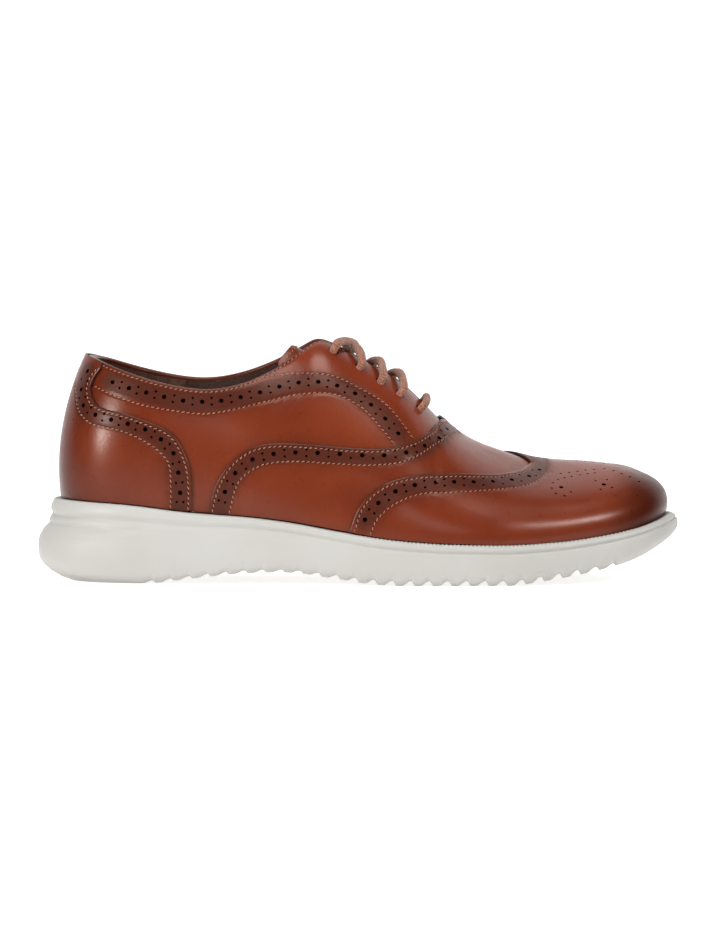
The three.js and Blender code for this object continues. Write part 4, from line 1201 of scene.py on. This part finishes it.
def addSole():
    us = np.concatenate([np.linspace(0, 0.1, 60), np.linspace(0.1, 0.93, 700)[1:],
                         np.linspace(0.93, 1, 46)[1:]])
    rings = []
    for part, fore, heel, toe in soleWall:
        loop = []
        for side in (lateral, medial):
            x0 = footPoint(side, us)[:, 0]
            heelShare, toeShare = 1 - smoothstep(14, 80, x0), smoothstep(262, 292, x0)
            point = footOutline(side, us, fore + heelShare * (heel - fore) + toeShare * (toe - fore))
            ground, head = along(tread, x0), along(feather, x0)
            z = ground + part * (head - ground)
            cut = ground + notchDepth(point[:, 0])
            lift = np.clip(1 - (z - ground) / 5.0, 0, 1) ** 0.8
            if part > 0.98:
                z = z + ribHeight(point[:, 0])
            point[:, 2] = np.maximum(z, z + (cut - ground) * lift)
            loop.append(point if side == lateral else point[-2:0:-1])
        rings.append(np.vstack(loop))
    n = len(rings[0])
    points, faces = list(rings), []
    for k in range(len(rings) - 1):
        for i in range(n):
            j = (i + 1) % n
            faces.append((k * n + j, k * n + i, (k + 1) * n + i, (k + 1) * n + j))
    total = len(rings) * n
    across = 22
    half = len(us)
    for top, ring, base in ((True, rings[0], 0), (False, rings[-1], (len(rings) - 1) * n)):
        ids = np.zeros((half, across + 1), int)
        ids[:, 0] = base + np.arange(half)
        ids[:, across] = base + (n - np.arange(half)) % n
        for j in range(1, across):
            share = j / across
            left, right = ring[:half], ring[(n - np.arange(half)) % n]
            line = left * (1 - share) + right * share
            if not top:
                line[:, 2] = along(tread, line[:, 0]) + notchDepth(line[:, 0])
            points.append(line)
            ids[:, j] = total + np.arange(half)
            total += half
        for i in range(half - 1):
            for j in range(across):
                quad = (ids[i, j], ids[i + 1, j], ids[i + 1, j + 1], ids[i, j + 1])
                if len(set(quad)) < 3:
                    continue
                quad = tuple(dict.fromkeys(quad))
                faces.append(quad if top else quad[::-1])
    points = np.vstack(points)
    # painted shade: the foam darkens towards the ground, along the bottom of the wall and over the tread
    lowest = points[:, 2] - along(tread, points[:, 0])
    tone = np.zeros((len(points), 3))
    tone[:] = (0.5 * smoothstep(3.2, 0.2, lowest) * (points[:, 2] < 9))[:, None]
    piece = makePiece("soleUnit", points, faces, ("foam",), tone=tone, smooth=48)
    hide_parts("sole_unit")


addSole()
print("sole ready")


def innerPlate(name, inset, low, high, slot, node, dish=0.0):
    us = np.linspace(0, 1, 120)
    across = 26
    points, faces = [], []
    half = len(us)
    sheets = []
    for height in (low, high):
        left = footOutline(lateral, us, np.full(half, -inset))
        right = footOutline(medial, us, np.full(half, -inset))
        right[[0, -1]] = left[[0, -1]]
        sheet = np.stack([left * (1 - s) + right * s for s in np.linspace(0, 1, across + 1)], 1)
        share = np.linspace(-1, 1, across + 1)
        sheet[:, :, 2] = along(feather, sheet[:, :, 0]) + height
        if height == high:
            sheet[:, :, 2] -= dish * (1 - np.abs(share[None, :]) ** 2.5)
        sheets.append(sheet)
    size = half * (across + 1)
    for sheet in sheets:
        points.append(sheet.reshape(-1, 3))
    at = lambda i, j, k: k * size + i * (across + 1) + j
    for i in range(half - 1):
        for j in range(across):
            faces.append((at(i, j, 1), at(i + 1, j, 1), at(i + 1, j + 1, 1), at(i, j + 1, 1)))
            faces.append((at(i, j, 0), at(i, j + 1, 0), at(i + 1, j + 1, 0), at(i + 1, j, 0)))
        faces.append((at(i, 0, 1), at(i, 0, 0), at(i + 1, 0, 0), at(i + 1, 0, 1)))
        faces.append((at(i + 1, across, 1), at(i + 1, across, 0), at(i, across, 0), at(i, across, 1)))
    piece = makePiece(name, np.vstack(points), faces, (slot,), smooth=50)
    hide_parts(node)


innerPlate("sockLiner", 4.6, 2.8, 5.8, "suede", "sock_liner", dish=0.9)
for name in ("insole_board", "toe_puff", "heel_stiffener"):
    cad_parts[name].data.materials.clear()
    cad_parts[name].data.materials.append(finishes["board"])
for name in ("vamp_lining", "collar_pad", "facing_stay_lateral", "facing_stay_medial"):
    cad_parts[name].data.materials.clear()
    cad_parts[name].data.materials.append(finishes["textile"])
for name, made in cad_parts.items():
    if name.startswith("eyelet"):
        made.data.materials.clear()
        made.data.materials.append(finishes["brass"])
print("insole ready")


tongueFacts = {
    "line": [(195, 58), (185, 68.3), (172, 79.6), (154, 92), (138, 101.4), (128, 107.4), (120.6, 111.9)],
    "half": [(118, 11), (122, 12.5), (134, 13.2), (145, 15.5), (154, 16.5), (165, 15.5), (175, 13),
             (195, 8.5)],
    "shift": -1.5, "curve": 0.032, "sweep": 0.055, "droop": 0.035,
}


def tongueSurface(share, y, depth):
    # share runs from the root to the free end; y is from the tongue's own middle
    x = np.interp(share, tongueShare, tongueLine[:, 0])
    z = np.interp(share, tongueShare, tongueLine[:, 1])
    droop = smoothstep(0.78, 1.0, share) * y * y
    reach = x - tongueFacts["sweep"] * droop
    return np.stack([reach, 0.01 * x + tongueFacts["shift"] + y,
                     z - tongueFacts["curve"] * y * y - tongueFacts["droop"] * droop - depth], -1)


tongueLine = roundCurve(tongueFacts["line"], 1.0)
tongueShare = np.linspace(0, 1, len(tongueLine))


def tongueSlab(name, drop, thick, margin, slot, node, tone, puff=0.0):
    shares = np.linspace(0, 1 - 0.006 * margin, 76)
    x = np.interp(shares, tongueShare, tongueLine[:, 0])
    half = along(tongueFacts["half"], x) - margin
    half *= 1 - 0.12 * smoothstep(0.965, 1.0, shares)
    across = np.sin(np.linspace(-1, 1, 33) * math.pi / 2)
    points, faces = [], []
    nu, nv = len(shares), len(across)
    rim = np.minimum(1, (1 - np.abs(across)) * 6)[None, :]
    rim = rim * np.minimum(1, (1 - shares / shares[-1]) * 26)[:, None]
    for depth, sign in ((drop, 1), (drop + thick, -1)):
        y = half[:, None] * across[None, :]
        soft = (thick / 2) * (1 - np.sqrt(np.clip(1 - (1 - rim) ** 2, 0, 1)))
        bulge = puff * rim * np.sin(np.clip(shares, 0, 1) * math.pi)[:, None] * sign
        sheet = tongueSurface(np.repeat(shares[:, None], nv, 1), y, depth + soft * sign - bulge * 0.5)
        points.append(sheet.reshape(-1, 3))
    size = nu * nv
    at = lambda i, j, k: k * size + i * nv + j
    for i in range(nu - 1):
        for j in range(nv - 1):
            faces.append((at(i, j, 0), at(i, j + 1, 0), at(i + 1, j + 1, 0), at(i + 1, j, 0)))
            faces.append((at(i, j, 1), at(i + 1, j, 1), at(i + 1, j + 1, 1), at(i, j + 1, 1)))
    loop = ([(i, 0) for i in range(nu)] + [(nu - 1, j) for j in range(1, nv)]
            + [(i, nv - 1) for i in range(nu - 2, -1, -1)] + [(0, j) for j in range(nv - 2, 0, -1)])
    for a, b in zip(loop, loop[1:] + loop[:1]):
        faces.append((at(*a, 0), at(*b, 0), at(*b, 1), at(*a, 1)))
    tones = np.tile(tone, (2 * size, 1))
    piece = makePiece(name, np.vstack(points), faces, (slot,), tone=tones, smooth=60, body="tongue")
    bpy.ops.object.mode_set(mode="EDIT")
    bpy.ops.mesh.select_all(action="SELECT")
    bpy.ops.mesh.normals_make_consistent(inside=False)
    bpy.ops.object.mode_set(mode="OBJECT")
    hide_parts(node)
    return piece


tongueSlab("tongueLeather", 0.0, 1.6, 0.0, "leather", "tongue", (0.12, 0.25, 0.0), 0.5)
tongueSlab("tongueBacking", 1.9, 1.8, 0.8, "textile", "tongue_lining", (0, 0, 0))


def tongueRow(side, row, lift):
    # row holds share along the tongue and share across it
    x = np.interp(row[:, 0], tongueShare, tongueLine[:, 0])
    half = along(tongueFacts["half"], x)
    return tongueSurface(row[:, 0], side * half * row[:, 1], -0.05 - lift)


edgeRun = [(s, 0.86) for s in np.linspace(0.45, 0.965, 60)] + [(0.972, w) for w in np.linspace(0.84, 0.0,
                                                                                               16)]
stitchRows("tongueStitches", [np.array(edgeRun)], tongueRow, (lateral, medial), body="tongue")
print("tongue ready")


laceRoute = [
    (196.8, -37, 27.9), (174.2, -38.9, 29.5), (155.6, -39.2, 32), (141.5, -34.8, 54.5), (134.3, -28, 77.4),
    (133.4, -18.8, 96.7), (138, -10, 102.7), (141.8, -15.7, 111.2), (145.4, -7.5, 112.7), (148.1, 1.5, 108),
    (151.8, 10.2, 109.7), (154.2, 17.6, 103.4), (150.2, 10.8, 96.1), (152.3, 9.1, 97.2), (158.4, 1.6, 103.2),
    (162.3, -5.9, 103.6), (164.1, -18.4, 96.8), (159.6, -12.6, 89), (162, -5.4, 91.8), (165.7, 1.7, 93.8),
    (171.7, 8.5, 97.9), (173.6, 19.3, 90.4), (168.2, 13.1, 83.4), (176.2, 11.6, 76.8), (183.3, 15.7, 83.8),
    (184.8, 1.8, 86.4), (183.4, -13.9, 83), (175.8, -10.3, 76.4), (167.7, -12.9, 83.2), (173.8, -18, 90.5),
    (171.7, -5.1, 97.9), (168, 1.7, 97.7), (162, 8.8, 91.8), (160.1, 12.3, 89.4), (163.9, 19.4, 96.5),
    (162.3, 9.2, 103.6), (156.1, 1.6, 99.3), (152.3, -6, 97.2), (149.7, -11.1, 95.5), (154.3, -16.6, 103.5),
    (151.8, -7.1, 109.7), (150.2, 1.5, 112), (145.4, 10.4, 112.8), (141.7, 16.9, 111), (138.3, 9.7, 103.6),
    (132.9, 16, 98), (134.5, 22.2, 78.2), (141.8, 27.4, 54.9), (156.3, 31.8, 31.9), (175, 33.9, 29.4),
    (197.7, 35.1, 27.9)]
laceFacts = {"diameter": 3.8, "length": 653.7, "tip": 16.0}


def addLace():
    line = roundCurve(laceRoute, 0.75)
    tangent = np.gradient(line, axis=0)
    tangent /= np.linalg.norm(tangent, axis=1)[:, None]
    side = np.cross(tangent[0], (0, 0, 1.0))
    count, around = len(line), 18
    points, uvs = [], []
    turn = np.linspace(0, 2 * math.pi, around + 1)
    for k in range(count):
        side = side - (side @ tangent[k]) * tangent[k]
        side /= np.linalg.norm(side)
        up = np.cross(tangent[k], side)
        length = k * 0.75
        weave = 0.07 * np.sin(6 * turn + length * 2.1) * np.sin(-6 * turn + length * 2.1)
        radius = laceFacts["diameter"] / 2 - 0.05 + weave
        points.append(line[k] + (np.cos(turn) * radius)[:, None] * side + (np.sin(turn) * radius)[:,
                                                                                                  None] * up)
        uvs.append(np.stack([turn / (2 * math.pi), np.full(around + 1, length)], -1))
    n = around + 1
    faces = []
    for k in range(count - 1):
        for a in range(around):
            faces.append((k * n + a, k * n + a + 1, (k + 1) * n + a + 1, (k + 1) * n + a))
    faces += [tuple(range(around))[::-1], tuple((count - 1) * n + a for a in range(around))]
    piece = makePiece("laceCord", np.vstack(points), faces, ("lace",), uvs=np.vstack(uvs), smooth=70)
    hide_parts("lace")
    for word, end, before in (("Lateral", 0, 3), ("Medial", -1, -4)):
        direction = line[end] - line[before]
        direction /= np.linalg.norm(direction)
        addTip("aglet" + word, line[end], direction, "aglet_" + word.lower())


def addTip(name, start, direction, nodeName):
    # wrapped film tip with a crimped waist
    around = 16
    profile = [(0.3, 0.0), (0.3, 1.55), (0.7, 1.66), (2.2, 1.62), (4.0, 1.5), (4.6, 1.42), (5.2, 1.5),
               (9.0, 1.42),
               (14.5, 1.3), (15.9, 1.15), (16.3, 0.8), (16.3, 0.0)]
    side = np.cross(direction, (0, 0, 1.0))
    side /= np.linalg.norm(side)
    up = np.cross(direction, side)
    points, faces = [], []
    for reach, radius in profile:
        for a in range(around):
            turn = 2 * math.pi * a / around
            points.append(start + direction * reach + radius * (math.cos(turn) * side + math.sin(turn) * up))
    for k in range(len(profile) - 1):
        for a in range(around):
            b = (a + 1) % around
            faces.append((k * around + a, k * around + b, (k + 1) * around + b, (k + 1) * around + a))
    piece = makePiece(name, np.array(points), faces, ("tip",), smooth=50)
    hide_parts(nodeName)
    return piece


addLace()
print("lace ready")


sweep = {"front": -6.0, "bend": 1.2, "radius": 2.0, "top": 8.0, "half": 8.0, "grey": 0.8, "glow": 0.7}


def addFloor():
    # pale sweep: floor in front, curved up behind
    bend, radius = sweep["bend"], sweep["radius"]
    profile = [(sweep["front"], 0.0), (bend, 0.0)]
    for turn in np.linspace(0.1, math.pi / 2, 14):
        profile.append((bend + radius * math.sin(turn), radius - radius * math.cos(turn)))
    profile.append((bend + radius, sweep["top"]))
    points = [(x, y, z - 0.0003) for y, z in profile for x in (-sweep["half"], sweep["half"])]
    faces = [(2 * k, 2 * k + 1, 2 * k + 3, 2 * k + 2) for k in range(len(profile) - 1)]
    mesh = bpy.data.meshes.new("floor")
    mesh.from_pydata(points, [], faces)
    floor = bpy.data.objects.new("floor", mesh)
    scene.collection.objects.link(floor)
    finish, _, shader = newFinish("paleFloor", 0.9)
    shader.inputs["Base Color"].default_value = (sweep["grey"], sweep["grey"], sweep["grey"], 1)
    shader.inputs["Specular IOR Level"].default_value = 0.1
    shader.inputs["Emission Color"].default_value = (1, 1, 1, 1)
    shader.inputs["Emission Strength"].default_value = sweep["glow"]
    mesh.materials.append(finish)
    for polygon in mesh.polygons:
        polygon.use_smooth = True


addFloor()
print("scene ready")
